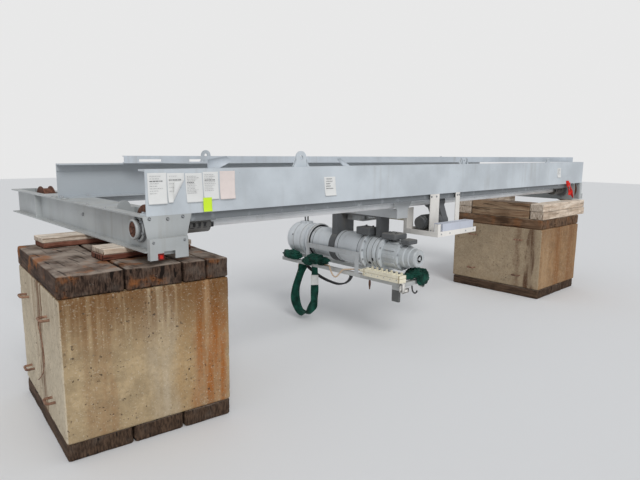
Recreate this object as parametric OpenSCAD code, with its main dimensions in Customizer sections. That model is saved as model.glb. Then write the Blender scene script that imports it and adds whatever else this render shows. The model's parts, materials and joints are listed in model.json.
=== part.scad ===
// Overhead travelling crane, taken down and stored on two ballast blocks.
// Two girders lie on two end trucks; a rope hoist hangs between the girders.
// X runs along the girders, -Y is the side with the line shaft, Z is up.

/* [Girders] */
// Length of each girder
girder_l = 7900; // [7000:50:9000]
// Depth of each girder
girder_h = 350; // [300:10:420]
// Width of a girder flange
girder_w = 112; // [90:2:140]
// Thickness of a girder flange
flange_t = 14; // [10:1:20]
// Thickness of a girder web
web_t = 10; // [8:1:14]
// Distance between the outer faces of the two girders
girder_gap = 2010; // [1900:10:2300]
// Height of the cap strip under the far girder's top flange
cap_h = 62; // [40:2:80]
// Radius of a lifting lug
lug_r = 62; // [40:2:80]
// Thickness of a lifting lug
lug_t = 16; // [10:1:24]

/* [Loose channel] */
// Length of the channel that lies across the girders
loose_l = 7300; // [6500:50:7400]
// Height of the loose channel
loose_h = 78; // [60:2:100]
// Width of the loose channel
loose_w = 90; // [60:2:120]
// Wall of the loose channel
loose_t = 8; // [5:1:12]

/* [End trucks] */
// Length of an end truck
truck_l = 3680; // [3500:20:4000]
// Depth of an end truck
truck_h = 280; // [260:5:320]
// Width over the truck's flanges
truck_w = 350; // [330:5:400]
// Width of one truck flange
truck_flange = 83; // [70:1:95]
// Thickness of the truck's flanges
truck_ft = 12; // [8:1:18]
// Thickness of the truck's webs
truck_wt = 8; // [6:1:12]
// Rolling radius of a wheel
tread_r = 165; // [150:1:175]
// Height of a wheel's rim over its tread
wheel_rim = 24; // [18:1:30]
// Width of a wheel over its rims
wheel_w = 116; // [90:2:130]
// Radius of an axle
axle_r = 27; // [20:1:32]
// How far the wheels' treads sink below the truck
wheel_drop = 5; // [0:1:20]

/* [Drive] */
// Radius of the line shaft
shaft_r = 33; // [22:1:34]
// Radius of a shaft coupling
coupling_r = 74; // [60:1:80]
// Length of a shaft coupling
coupling_l = 300; // [240:5:340]
// Length of the drive platform
plat_l = 800; // [700:10:900]
// Width of the drive platform
plat_w = 500; // [440:10:560]
// Leg of the platform's angles
plat_leg = 60; // [50:2:80]
// Thickness of the platform's angles
plat_t = 6; // [4:1:10]
// Radius of the drive motor
motor_r = 84; // [70:2:95]
// Length of the drive motor
motor_l = 330; // [280:10:360]

/* [Hoist] */
// Radius of the hoist's drum case
drum_r = 200; // [180:5:215]
// Length of the hoist's drum case
drum_l = 960; // [880:10:1040]
// Radius of the hoist's end rings
ring_r = 234; // [222:2:250]
// Radius of the hoist's end cap
cap_r = 226; // [205:2:240]
// Length of the hoist's end cap
cap_l = 410; // [300:10:440]
// Length of the gear case
gear_l = 260; // [220:10:300]
// Radius of the hoist motor
hmotor_r = 165; // [150:5:175]
// Length of the hoist motor's ribbed part
hmotor_l = 225; // [200:5:260]
// Radius of the hoist motor's end cover
cover_r = 130; // [100:2:140]

/* [Blocks] */
// Width of a ballast block along X
block_w = 1320; // [1200:20:1400]
// Depth of a ballast block along Y
block_d = 1560; // [1400:20:1700]
// Height of the left block's concrete
block_h = 1080; // [900:10:1200]
// Thickness of the timbers on the left block
top_t = 170; // [140:5:200]
// Thickness of the timbers under a block
base_t = 140; // [100:5:180]
// Height of one layer of packing timber at the right
pack_t = 120; // [100:5:140]

/* [Hidden] */
$fn = 48;
cut = 2;          // overrun of a cut past its faces
clear = 0.3;      // gap between pieces that only touch

// levels, from the ground up
left_top = base_t + block_h + top_t;
left_pack = 46;   // one layer of packing timber at the left
truck_z = left_top + 2 * left_pack + clear;
right_pack = pack_t;
rtop_t = 150;
right_h = truck_z - clear - 2 * right_pack - rtop_t - base_t;
girder_z = truck_z + truck_h;
top_z = girder_z + girder_h;
axle_z = truck_z + tread_r - wheel_drop;

// places along X
truck_x = -20;                       // left edge of the left truck
block_x = -660;                      // near left corner of the left block
left_y = 30;
left_turn = -5.4;                    // the left block stands a little askew
rblock_in = 1600;                    // from the girders' right end back to the right block
rblock_x = girder_l - rblock_in;     // left edge of the right block
block_y = -115;                      // near face of the blocks
sweep_t = 10;
truck_y = sweep_t;
drive_y = 222;                       // line shaft, from the near girder's face
idler_y = 2920;
loop_w = 110;
loop_y_shares = [0.24, 0.76];
loop_z_shares = [0.2, 0.8];
loop_out = 62;
loop_r = 11;
plat_x = 3380;
plat_drop = 470;
plat_z = girder_z - plat_drop;
hoist_x = 3200;
hoist_z = 1050;
bracket_out = 55;

// the middle of the whole, which stands at the origin
x_low = block_x - block_d * loop_y_shares[0] * sin(left_turn) - (loop_out + loop_r) * cos(left_turn)
    + loop_w / 2 * sin(left_turn);
x_high = girder_l - truck_x + bracket_out;
y_low = -plat_w / 2;
y_high = truck_y + truck_l;
mid_x = (x_low + x_high) / 2;
mid_y = (y_low + y_high) / 2;
module at_origin() { translate([-mid_x, -mid_y, 0]) children(); }
module left_place() {
    at_origin() translate([block_x, left_y, 0]) rotate([0, 0, left_turn]) translate([-block_x, -block_y, 0]) children();
}
module box(x, y, z, w, d, h) { translate([x, y, z]) cube([w, d, h]); }
// a round bar along X
module bar_x(x, y, z, r, l) { translate([x, y, z]) rotate([0, 90, 0]) cylinder(r = r, h = l); }
// a round bar along Y
module bar_y(x, y, z, r, l) { translate([x, y + l, z]) rotate([90, 0, 0]) cylinder(r = r, h = l); }
// swaps the left end for the right end
module right_end() { translate([girder_l, 0, 0]) mirror([1, 0, 0]) children(); }

// girders
lug_hole_r = lug_r * 0.36;
lug_rise = lug_r * 1.35;
module lug(x, y) {
    difference() {
        union() {
            box(x - lug_r, y, top_z - cut, 2 * lug_r, lug_t, lug_rise + cut);
            bar_y(x, y, top_z + lug_rise, lug_r, lug_t);
        }
        bar_y(x, y - cut, top_z + lug_rise, lug_hole_r, lug_t + 2 * cut);
    }
}
module small_lug(x, y) {
    difference() {
        union() {
            box(x - lug_r / 2, y, top_z - cut, lug_r, lug_t, lug_rise / 2 + cut);
            bar_y(x, y, top_z + lug_rise / 2, lug_r / 2, lug_t);
        }
        bar_y(x, y - cut, top_z + lug_rise / 2, lug_hole_r / 2, lug_t + 2 * cut);
    }
}
wheel_mid = truck_x + truck_w / 2;
rim_room = 8;
rim_chord = sqrt(pow(tread_r + wheel_rim, 2) - pow(girder_z - axle_z, 2));
lip_h = 66;
lip_t = 10;
lip_y = 32;
lip_x = truck_x + truck_w + 2 * lip_t;
module girder_channel(wheels = false) {
    box(0, 0, girder_z, girder_l, web_t, girder_h);
    difference() {
        box(0, 0, girder_z, girder_l, girder_w, flange_t);
        // room for the rims of the driven wheels
        if (wheels) for (x = [wheel_mid, girder_l - wheel_mid])
            box(x - wheel_w / 2 - rim_room, drive_y - rim_chord - rim_room, girder_z - cut,
                wheel_w + 2 * rim_room, girder_w, flange_t + 2 * cut);
    }
    box(0, 0, top_z - flange_t, girder_l, girder_w, flange_t);
    // lower lip between the end trucks, set back under the bottom flange
    box(lip_x, lip_y, girder_z - lip_h, girder_l - 2 * lip_x, lip_t, lip_h + cut);
}
lug_y = web_t * 4;
near_lug_x = [1565, 4300, 6650];
far_lug_x = [1700, 6540];
module near_girder() {
    color("lightsteelblue") at_origin() {
        girder_channel(true);
        lug(near_lug_x[0], lug_y);
        small_lug(near_lug_x[1], lug_y);
        small_lug(near_lug_x[2], lug_y);
    }
}
module far_girder() {
    color("lightsteelblue") at_origin() {
        translate([0, girder_gap, 0]) mirror([0, 1, 0]) {
            girder_channel();
            box(0, web_t - cut, top_z - flange_t - cap_h, girder_l, web_t + cut, cap_h + cut);
            lug(far_lug_x[0], lug_y);
            small_lug(far_lug_x[1], lug_y);
        }
    }
}
// the loose channel lies askew, one end on each girder
loose_x0 = 640;
loose_y0 = girder_gap - girder_w - loose_w / 2;
loose_y1 = girder_w;
loose_turn = -asin((loose_y0 - loose_y1) / loose_l);
module loose_channel() {
    color("gainsboro") at_origin() translate([loose_x0, loose_y0, top_z + clear]) rotate([0, 0,
        loose_turn]) {
        box(0, 0, 0, loose_l, loose_w, loose_t);
        difference() {
            box(0, 0, 0, loose_l, loose_t, loose_h);
            box(2 * loose_h, -cut, 2 * loose_t, 3 * loose_h, loose_t + 2 * cut, loose_h / 3);
            box(9 * loose_h, -cut, 2 * loose_t, 4 * loose_h, loose_t + 2 * cut, loose_h / 3);
        }
        box(0, 0, loose_h - loose_t, loose_l, loose_w, loose_t);
    }
}

// end trucks
web_out = truck_x + truck_flange - truck_wt;           // outer web, outer face
web_in = truck_x + truck_w - truck_flange;             // inner web, inner face
pit = web_in - web_out - truck_wt;                     // room between the webs
stiff_t = 8;
idler_hole_r = 55;
deck_y0 = 760;
deck_gap = 60;
deck_y1 = idler_y - tread_r - wheel_rim - deck_gap;
stiff_y = [2770];
bolt_hole_y = 1480;
hole_gap = 8;                        // room round an axle in the webs
deck_t = 8;
arch_r = 60;
module truck_frame() {
    difference() {
        union() {
            for (z = [truck_z, girder_z - truck_ft]) {
                box(truck_x, truck_y, z, truck_flange, truck_l, truck_ft);
                box(web_in, truck_y, z, truck_flange, truck_l, truck_ft);
            }
            box(web_out, truck_y, truck_z, truck_wt, truck_l, truck_h);
            box(web_in, truck_y, truck_z, truck_wt, truck_l, truck_h);
            // deck plate and diaphragms between the webs
            box(web_out, deck_y0, girder_z - deck_t, pit + 2 * truck_wt, deck_y1 - deck_y0, deck_t);
            for (y = [deck_y0, (deck_y0 + deck_y1) / 2, deck_y1 - stiff_t, truck_y + truck_l - stiff_t])
                box(web_out, y, truck_z, pit + 2 * truck_wt, stiff_t, truck_h);
            // stiffeners between the flanges
            for (y = stiff_y)
                box(truck_x + stiff_t, y, truck_z, truck_flange - stiff_t, stiff_t, truck_h);
        }
        bar_x(web_out - cut, drive_y, axle_z, axle_r + hole_gap, truck_wt + 2 * cut);
        bar_x(web_in - cut, drive_y, axle_z, axle_r + hole_gap, truck_wt + 2 * cut);
        bar_x(web_out - cut, idler_y, axle_z, idler_hole_r, truck_wt + 2 * cut);
        bar_x(web_in - cut, idler_y, axle_z, idler_hole_r, truck_wt + 2 * cut);
        bar_x(web_out - cut, bolt_hole_y, axle_z, axle_r / 2, truck_wt + 2 * cut);
    }
    // arch plate behind the driven wheel
    difference() {
        bar_y(web_out + truck_wt + pit / 2, deck_y0, girder_z, arch_r, stiff_t);
        box(web_out, deck_y0 - cut, girder_z - 2 * arch_r - deck_t, pit + 2 * truck_wt,
            stiff_t + 2 * cut, 2 * arch_r);
    }
}
module left_end_truck() { color("silver") at_origin() truck_frame(); }
module right_end_truck() { color("silver") at_origin() right_end() truck_frame(); }

sweep_in = 20;
sweep_x = truck_x + sweep_in;
sweep_w = 322;
sweep_h = 165;
sweep_low = 56;
sweep_out = 36;
plate_over = 12;
notch_w = 96;
notch_h = 62;
module left_rail_sweep() {
    z0 = truck_z - sweep_low;
    color("silver") at_origin() difference() {
        union() {
            translate([0, sweep_t - clear, 0]) rotate([90, 0, 0]) linear_extrude(sweep_t - clear)
                polygon([[truck_x - plate_over, girder_z - clear], [truck_x + truck_w + 4 * plate_over,
                    girder_z - clear],
                    [sweep_x + sweep_w + plate_over, z0 + sweep_h], [sweep_x + sweep_w, z0 + 3 * sweep_t],
                    [sweep_x, z0 + 3 * sweep_t], [sweep_x, z0 + sweep_h]]);
            box(sweep_x, -sweep_out, z0, sweep_w, sweep_t, sweep_h);
            box(sweep_x, -sweep_out, z0, sweep_t, sweep_out + sweep_t - clear, sweep_h);
            box(sweep_x + sweep_w - sweep_t, -sweep_out, z0, sweep_t, sweep_out + sweep_t - clear, sweep_h);
            box(sweep_x, -sweep_out, z0 + sweep_h - sweep_t, sweep_w, sweep_out + sweep_t - clear, sweep_t);
        }
        box(sweep_x + sweep_w / 2 - notch_w / 2, -sweep_out - cut, z0 - cut, notch_w,
            sweep_t + 2 * cut, notch_h + cut);
    }
}
edge_w = 74;
bracket_h = 92;
bracket_w = 90;
module right_end_plate() {
    color("silver") at_origin() difference() {
        union() {
            box(girder_l - truck_x - edge_w, 0, truck_z, edge_w, sweep_t - clear, truck_h - clear);
            box(girder_l - truck_x - edge_w, 0, truck_z, edge_w + bracket_out, sweep_t - clear, bracket_h);
        }
        for (z = [bracket_h / 3, 2 * bracket_h / 3])
            bar_y(girder_l - truck_x + bracket_out / 2, -cut, truck_z + z, sweep_t, sweep_t + 2 * cut);
    }
}
// flanged bearings on the outside of the webs
bearing_r = 106;
boss_r = 72;
bearing_t = 20;
boss_t = 30;
run = 0.08;       // running clearance of an axle
module drive_bearings() {
    difference() {
        union() {
            bar_x(web_out - bearing_t, drive_y, axle_z, bearing_r, bearing_t);
            bar_x(web_out - bearing_t - boss_t, drive_y, axle_z, boss_r, boss_t + bearing_t);
        }
        bar_x(web_out - bearing_t - boss_t - cut, drive_y, axle_z, axle_r + run,
            boss_t + bearing_t + 2 * cut);
    }
    difference() {
        bar_x(web_in + truck_wt, drive_y, axle_z, bearing_r, bearing_t + boss_t);
        bar_x(web_in + truck_wt - cut, drive_y, axle_z, axle_r + run, bearing_t + boss_t + 2 * cut);
    }
}
module idler_bearings() {
    for (x = [web_out + truck_wt, web_in - bearing_t]) difference() {
        bar_x(x, idler_y, axle_z, idler_hole_r + bearing_t, bearing_t);
        bar_x(x - cut, idler_y, axle_z, axle_r + run, bearing_t + 2 * cut);
    }
}
module left_drive_bearings() { color("gray") at_origin() drive_bearings(); }
module right_drive_bearings() { color("gray") at_origin() right_end() drive_bearings(); }
module left_idler_bearings() { color("gray") at_origin() idler_bearings(); }
module right_idler_bearings() { color("gray") at_origin() right_end() idler_bearings(); }

// a double-rimmed wheel about the X axis, middle at x
rim_t = 16;
module wheel(x, y) {
    translate([x, y, axle_z]) rotate([0, 90, 0]) rotate_extrude()
        polygon([[0, -wheel_w / 2], [tread_r + wheel_rim, -wheel_w / 2], [tread_r + wheel_rim,
            rim_t / 2 - wheel_w / 2],
            [tread_r, rim_t - wheel_w / 2], [tread_r, wheel_w / 2 - rim_t], [tread_r + wheel_rim,
                wheel_w / 2 - rim_t / 2],
            [tread_r + wheel_rim, wheel_w / 2], [tread_r * 0.8, wheel_w / 2], [tread_r * 0.74, wheel_w / 4],
            [tread_r * 0.4, wheel_w / 4], [tread_r * 0.36, wheel_w / 2], [0, wheel_w / 2]]);
}
wheel_x = web_out + truck_wt + pit / 2;
hub_r = 60;
hub_t = 22;
axle_over = 75;
axle_in = truck_x + truck_w + axle_over;    // inner end of a driven axle
module drive_wheel() {
    wheel(wheel_x, drive_y);
    x0 = web_out - bearing_t - boss_t - clear;
    bar_x(x0 - hub_t, drive_y, axle_z, hub_r, hub_t);
    bar_x(x0 - cut, drive_y, axle_z, axle_r, axle_in - x0 + cut);
}
module idler_wheel() {
    wheel(wheel_x, idler_y);
    bar_x(web_out + truck_wt / 2, idler_y, axle_z, axle_r, pit + truck_wt);
}
module left_drive_wheel() { color("saddlebrown") at_origin() drive_wheel(); }
module right_drive_wheel() { color("saddlebrown") at_origin() right_end() drive_wheel(); }
module left_idler_wheel() { color("saddlebrown") at_origin() idler_wheel(); }
module right_idler_wheel() { color("saddlebrown") at_origin() right_end() idler_wheel(); }

slot_l = coupling_l / 6;
slot_w = coupling_r / 2;
module coupling() {
    difference() {
        bar_x(axle_in - coupling_l / 5, drive_y, axle_z, coupling_r, coupling_l);
        bar_x(axle_in - coupling_l / 5 - cut, drive_y, axle_z, axle_r, coupling_l / 5 + cut);
        bar_x(axle_in - cut, drive_y, axle_z, shaft_r, coupling_l);
        for (i = [1 : 4], a = [0, 90, 180, 270])
            translate([axle_in - coupling_l / 5 + coupling_l * (0.12 + 0.17 * i) - slot_l / 4, drive_y,
                axle_z]) rotate([a, 0, 0])
                box(0, -slot_w / 2, coupling_r * 0.8, slot_l / 2, slot_w, coupling_r);
    }
}
module left_coupling() { color("gray") at_origin() coupling(); }
module right_coupling() { color("gray") at_origin() right_end() coupling(); }
module drive_shaft() {
    color("silver") at_origin() bar_x(axle_in, drive_y, axle_z, shaft_r, girder_l - 2 * axle_in);
}

// drive platform, hung from the near girder
strap_t = 8;
strap_x = [180, 840];
strap_w = [180, 90];
post_w = 50;
upright_w = 180;
upright_h = 300;
upright_y = plat_w / 2;
module drive_platform() {
    color("white") at_origin() {
        // floor plate with a turned-up angle round it
        box(plat_x, -plat_w / 2, plat_z, plat_l, plat_w, plat_t);
        for (y = [-plat_w / 2, plat_w / 2 - plat_t]) box(plat_x, y, plat_z, plat_l, plat_t, plat_leg);
        for (x = [plat_x, plat_x + plat_l - plat_t]) box(x, -plat_w / 2, plat_z, plat_t, plat_w, plat_leg);
        // straps from the girder's lower flange
        box(plat_x + strap_x[0], 0, plat_z, strap_w[0], strap_t, girder_z - plat_z - clear);
        box(plat_x + plat_l - strap_w[1], 0, plat_z, strap_w[1], strap_t, girder_z - plat_z - clear);
        // post at the near corner and upright at the far corner
        box(plat_x, -plat_w / 2, plat_z, plat_t, post_w, 3 * post_w);
        box(plat_x, -plat_w / 2, plat_z, post_w, plat_t, 3 * post_w);
        box(plat_x, upright_y - plat_t, plat_z, upright_w, plat_t, upright_h);
        box(plat_x, upright_y - post_w, plat_z, plat_t, post_w, upright_h);
    }
}
ctrl_l = 640;
ctrl_w = 120;
ctrl_h = 140;
module control_box() {
    color("lightgray") at_origin() difference() {
        box(plat_x + 2 * post_w, plat_t - plat_w / 2 + clear, plat_z + plat_t, ctrl_l, ctrl_w, ctrl_h);
        for (i = [0 : 2])
            box(plat_x + 2 * post_w + ctrl_l * (0.12 + 0.3 * i), ctrl_w / 3 + plat_t - plat_w / 2,
                plat_z + plat_t + ctrl_h - 2 * plat_t,
                ctrl_l * 0.18, ctrl_w / 5, 3 * plat_t);
        box(plat_x + 2 * post_w + plat_t, 2 * plat_t - plat_w / 2 + clear, plat_z + plat_t - cut,
            ctrl_l - 2 * plat_t, ctrl_w - 2 * plat_t,
            ctrl_h - plat_t + cut);
    }
}
motor_y = 130;
motor_z = plat_z + plat_t + motor_r + plat_leg / 2;
gear_in = 520;
gear_x = plat_x + gear_in;
gear_t = 110;
gear_rise_r = 96;
module drive_motor() {
    color("dimgray") at_origin() {
        bar_x(gear_x - motor_l, motor_y, motor_z, motor_r, motor_l - clear);
        bar_x(gear_x - motor_l - motor_r / 2, motor_y, motor_z, motor_r * 0.86, motor_r / 2 + cut);
        box(gear_x - motor_l * 0.8, motor_y - motor_r * 0.8, plat_z + plat_t, motor_l * 0.6,
            motor_r * 1.6, motor_r * 0.6);
    }
}
bell_r = 74;
bell_l = 70;
bell_gap = 6;
module drive_gearbox() {
    color("silver") at_origin() difference() {
        union() {
            bar_x(gear_x, drive_y, axle_z, gear_rise_r, gear_t);
            bar_x(gear_x, motor_y, motor_z, gear_rise_r * 0.9, gear_t);
            translate([gear_x, 0, 0]) rotate([90, 0, 90]) linear_extrude(gear_t)
                polygon([[motor_y - gear_rise_r * 0.9, motor_z], [motor_y + gear_rise_r * 0.9, motor_z],
                    [drive_y + gear_rise_r, axle_z], [drive_y - gear_rise_r, axle_z]]);
            box(gear_x, motor_y - gear_rise_r * 0.8, plat_z + plat_t, gear_t, gear_rise_r * 1.6, motor_r);
            bar_x(gear_x - bell_l, drive_y, axle_z, bell_r, gear_t + 2 * bell_l);
        }
        bar_x(gear_x - bell_l - cut, drive_y, axle_z, shaft_r + bell_gap, gear_t + 2 * bell_l + 2 * cut);
    }
}

// trolley and hoist
tplate_t = 12;
tplate_l = 440;
tw_r = 55;
tw_w = 60;
tgap = 14;               // between a girder's flange and the trolley's side plate
beam_w = 160;
beam_h = 96;
beam_drop = 270;
beam_z = girder_z - beam_drop;
tplate_over = 40;
tplate_top = girder_z + flange_t + tw_r + tplate_over;
near_side = girder_w + tgap;
far_side = girder_gap - girder_w - tgap - tplate_t;
module trolley_frame() {
    color("silver") at_origin() {
        for (y = [near_side, far_side])
            translate([hoist_x, y + tplate_t, 0]) rotate([90, 0, 0]) linear_extrude(tplate_t)
                polygon([[-tplate_l / 2, tplate_top], [-tplate_l / 2, girder_z], [-beam_w * 0.6, beam_z + beam_h],
                    [-beam_w * 0.6, beam_z], [beam_w * 0.6, beam_z], [beam_w * 0.6, beam_z + beam_h],
                    [tplate_l / 2, girder_z], [tplate_l / 2, tplate_top]]);
        difference() {
            box(hoist_x - beam_w / 2, near_side, beam_z, beam_w, far_side - near_side + tplate_t, beam_h);
            box(hoist_x - beam_w / 2 + tplate_t, near_side - cut, beam_z + tplate_t, beam_w - 2 * tplate_t,
                far_side - near_side + tplate_t + 2 * cut, beam_h - 2 * tplate_t);
        }
        for (x = [-tplate_l / 3, tplate_l / 3]) {
            bar_y(hoist_x + x, near_side - tgap - tw_w, girder_z + flange_t + tw_r + clear, tw_r, tw_w);
            bar_y(hoist_x + x, near_side - tgap - cut, girder_z + flange_t + tw_r + clear, tw_r / 3,
                tgap + tplate_t);
            bar_y(hoist_x + x, far_side + tplate_t + tgap, girder_z + flange_t + tw_r + clear, tw_r, tw_w);
            bar_y(hoist_x + x, far_side, girder_z + flange_t + tw_r + clear, tw_r / 3,
                tgap + tplate_t + cut);
        }
    }
}
// places along the hoist, from the ring at the gear case
ring2_y = 556;
ring_t = 36;
case_t = 14;
ring1_y = ring2_y + ring_t + drum_l;
saddle_y = ring2_y + ring_t + drum_l * 0.48;
saddle_w = 96;
saddle_t = 16;
saddle_x = 150;
hang_y = ring2_y - gear_l / 2;
hang_w = 70;
module hoist_saddle() {
    top = beam_z - clear;
    color("dimgray") at_origin() {
        difference() {
            union() {
                bar_y(hoist_x, saddle_y, hoist_z, drum_r + saddle_t + clear, saddle_w);
                box(hoist_x - saddle_x, saddle_y, hoist_z, 2 * saddle_x, saddle_w, top - hoist_z);
            }
            bar_y(hoist_x, saddle_y - cut, hoist_z, drum_r + clear, saddle_w + 2 * cut);
            box(hoist_x - saddle_x + saddle_t, saddle_y + saddle_t, hoist_z + drum_r * 0.6,
                2 * saddle_x - 2 * saddle_t, saddle_w, top - hoist_z - drum_r * 0.6 - saddle_t);
            box(hoist_x, saddle_y - cut, hoist_z - 2 * drum_r, 2 * drum_r, saddle_w + 2 * cut, 2 * drum_r);
        }
        // hanger over the gear case
        difference() {
            box(hoist_x - beam_w / 2, hang_y - hang_w / 2, hoist_z, beam_w, hang_w, top - hoist_z);
            bar_y(hoist_x, hang_y - hang_w, hoist_z, drum_r + clear, 2 * hang_w);
        }
        // plate that ties the two
        box(hoist_x - beam_w / 2, hang_y, top - saddle_t, beam_w, saddle_y - hang_y + saddle_w, saddle_t);
    }
}
module hoist_drum_case() {
    color("darkgray") at_origin() difference() {
        union() {
            bar_y(hoist_x, ring2_y, hoist_z, ring_r, ring_t);
            bar_y(hoist_x, ring1_y, hoist_z, ring_r, ring_t);
            bar_y(hoist_x, ring2_y, hoist_z, drum_r, drum_l + 2 * ring_t);
        }
        bar_y(hoist_x, ring2_y - cut, hoist_z, drum_r - case_t, drum_l + 2 * ring_t + 2 * cut);
    }
}
module hoist_end_cap() {
    y0 = ring1_y + ring_t;
    color("silver") at_origin() difference() {
        union() {
        bar_y(hoist_x, y0, hoist_z, drum_r, cap_l / 8);
        translate([hoist_x, y0 + cap_l / 8, hoist_z]) rotate([-90, 0, 0]) rotate_extrude()
            polygon([[0, 0], [cap_r, 0], [cap_r, cap_l * 0.7], [cap_r * 0.96, cap_l * 0.8],
                [cap_r * 0.88, cap_l * 7 / 8], [0, cap_l * 7 / 8]]);
        box(hoist_x - cap_r / 3, y0 + cap_l / 3, hoist_z + cap_r * 0.9, cap_r / 2, cap_l / 3, cap_r * 0.2);
        }
        bar_y(hoist_x, y0 - cut, hoist_z, drum_r - case_t, cap_l * 0.8);
    }
}
module hoist_gearcase() {
    color("darkgray") at_origin() {
        bar_y(hoist_x, ring2_y - gear_l, hoist_z, drum_r, gear_l);
        bar_y(hoist_x, ring2_y - gear_l, hoist_z, drum_r + saddle_t, ring_t / 2);
        bar_y(hoist_x, ring2_y - gear_l * 0.7, hoist_z, drum_r + saddle_t / 2, ring_t / 3);
    }
}
module hoist_motor() {
    y0 = ring2_y - gear_l - hmotor_l;
    color("gray") at_origin() {
        bar_y(hoist_x, y0, hoist_z, hmotor_r, hmotor_l);
        for (a = [0 : 30 : 330]) translate([hoist_x, y0, hoist_z]) rotate([0, a, 0])
            box(-saddle_t, hmotor_l * 0.15, hmotor_r - cut, 2 * saddle_t, hmotor_l * 0.7, saddle_t);
        translate([hoist_x, y0, hoist_z]) rotate([90, 0, 0]) rotate_extrude()
            polygon([[0, 0], [cover_r, 0], [cover_r, cover_r * 0.5], [cover_r * 0.9, cover_r * 0.56],
                [cover_r * 0.9, cover_r],
                [cover_r * 0.8, cover_r * 1.06], [cover_r * 0.8, cover_r * 1.5], [cover_r * 0.72,
                    cover_r * 1.6], [0, cover_r * 1.6]]);
    }
}
// angle that runs along the hoist's -X side, on legs down to the cradle
tray_gap = 24;
tray_x = hoist_x - drum_r - saddle_t - tray_gap;
tray_y0 = ring2_y + ring_t + clear;
tray_y1 = ring1_y - clear;
tray_drop = 60;
tray_z = hoist_z - tray_drop;
tray_leg = 62;
saddle_out = drum_r + saddle_t + clear;
tray_t = 6;
cradle_z = 740;
cradle_h = 46;
cradle_w = 60;
module hoist_tray() {
    color("silver") at_origin() {
        box(tray_x, tray_y0, tray_z, tray_t, tray_y1 - tray_y0, tray_leg);
        box(tray_x, tray_y0, tray_z, hoist_x - tray_x - sqrt(pow(saddle_out + clear, 2)
            - pow(hoist_z - tray_z - tray_t, 2)), tray_y1 - tray_y0, tray_t);
        for (y = [tray_y0, tray_y1 - tray_leg])
            box(tray_x, y, cradle_z + cradle_h + clear, tray_t, tray_leg, tray_z - cradle_z - cradle_h);
    }
}
cradle_y0 = -90;
cradle_y1 = 2060;
cradle_x1 = hoist_x + drum_r;
leg_h = 190;
leg_w = 100;
module cradle_frame() {
    color("lightgray") at_origin() {
        for (x = [tray_x, cradle_x1 - cradle_w]) {
            box(x, cradle_y0, cradle_z, cradle_w, cradle_y1 - cradle_y0, tray_t);
            box(x, cradle_y0, cradle_z, tray_t, cradle_y1 - cradle_y0, cradle_h);
            box(x, cradle_y0, cradle_z + cradle_h - tray_t, cradle_w, cradle_y1 - cradle_y0, tray_t);
        }
        for (y = [cradle_y0, cradle_y1 - cradle_w])
            box(tray_x, y, cradle_z, cradle_x1 - tray_x, cradle_w, cradle_h);
        box(tray_x + cradle_w / 3, cradle_y0 + cradle_w, cradle_z - leg_h, leg_w / 3, leg_w,
            leg_h + tray_t);
    }
}
pend_l = 570;
pend_w = 110;
pend_h = 84;
pend_y = -80;
guard_r = 13;
guard_h = 26;
module pendant() {
    color("khaki") at_origin() translate([tray_x - pend_w / 4, pend_y, cradle_z + cradle_h + clear]) {
        cube([pend_w, pend_l, pend_h]);
        translate([pend_w / 2, pend_l, pend_h / 2]) rotate([-90, 0, 0]) cylinder(r1 = pend_h * 0.4,
            r2 = pend_h * 0.2, h = pend_h);
        for (i = [0 : 6]) translate([pend_w / 2, pend_l * (0.1 + 0.13 * i), pend_h - cut])
            cylinder(r = guard_r, h = guard_h / 2 + cut);
        for (i = [0 : 6], x = [guard_r / 2, pend_w - guard_r])
            translate([x, pend_l * (0.1 + 0.13 * i) - guard_r, pend_h - cut]) cube([guard_r / 2,
                2 * guard_r, guard_h + cut]);
    }
}

// soft pieces: a tube along a route
function unit(v) = v / norm(v);
function dirs(p) = [for (i = [0 : len(p) - 1]) unit(p[min(i + 1, len(p) - 1)] - p[max(i - 1, 0)])];
function side(d, w) = unit(w - (w * d) * d);
// mid points between the route's own, by Catmull-Rom
function cr(p, i, t) =
    let (a = p[max(i - 1, 0)], b = p[i], c = p[i + 1], d = p[min(i + 2, len(p) - 1)])
    0.5 * ((2 * b) + (c - a) * t + (2 * a - 5 * b + 4 * c - d) * t * t + (3 * b - a - 3 * c + d)
        * t * t * t);
function fine(p, n) = [for (i = [0 : len(p) - 2], k = [0 : n - 1]) cr(p, i, k / n), p[len(p) - 1]];
module tube(p, rw, rt, w, m = 8) {
    d = dirs(p);
    pts = [for (i = [0 : len(p) - 1]) let (s = side(d[i], w), u = cross(s, d[i]))
        for (k = [0 : m - 1]) p[i] + rw * cos(360 * k / m) * s + rt * sin(360 * k / m) * u];
    n = len(p);
    faces = concat([[for (k = [0 : m - 1]) k]],
        [for (i = [0 : n - 2], k = [0 : m - 1]) [i * m + k, (i + 1) * m + k, (i + 1) * m + (k + 1) % m,
            i * m + (k + 1) % m]],
        [[for (k = [0 : m - 1]) (n - 1) * m + m - 1 - k]]);
    polyhedron(pts, faces);
}
// routes from the crane's own corner: near girder's face, left end, ground
sling_pts = [[2990, 1660, 739.7], [2990, 1660, 715], [2990, 1660, 690], [2960, 1690, 560],
    [2920, 1715, 400], [2900, 1700, 240], [2900, 1625, 115], [2910, 1530, 80], [2925, 1440, 120],
    [2945, 1385, 230], [2960, 1380, 360], [2975, 1395, 540], [2990, 1410, 690], [2990, 1410, 715],
    [2990, 1410, 739.7]];
sling_w = 58;
sling_t = 14;
module lifting_sling() {
    color("darkgreen") at_origin() tube(fine(sling_pts, 3), sling_w, sling_t, [1, -0.4, 0.1]);
}
cable_pts = [[3003, 1560, 739.7], [3003, 1560, 727], [3003, 1560, 712], [3052, 1485, 640],
    [3066, 1390, 597], [3064, 1260, 572], [3056, 1130, 562], [3040, 1000, 568], [3020, 880, 602],
    [3004, 790, 655], [2990, 740, 712], [2990, 740, 727], [2990, 740, 739.7]];
cable_w = 30;
cable_t = 12;
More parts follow.
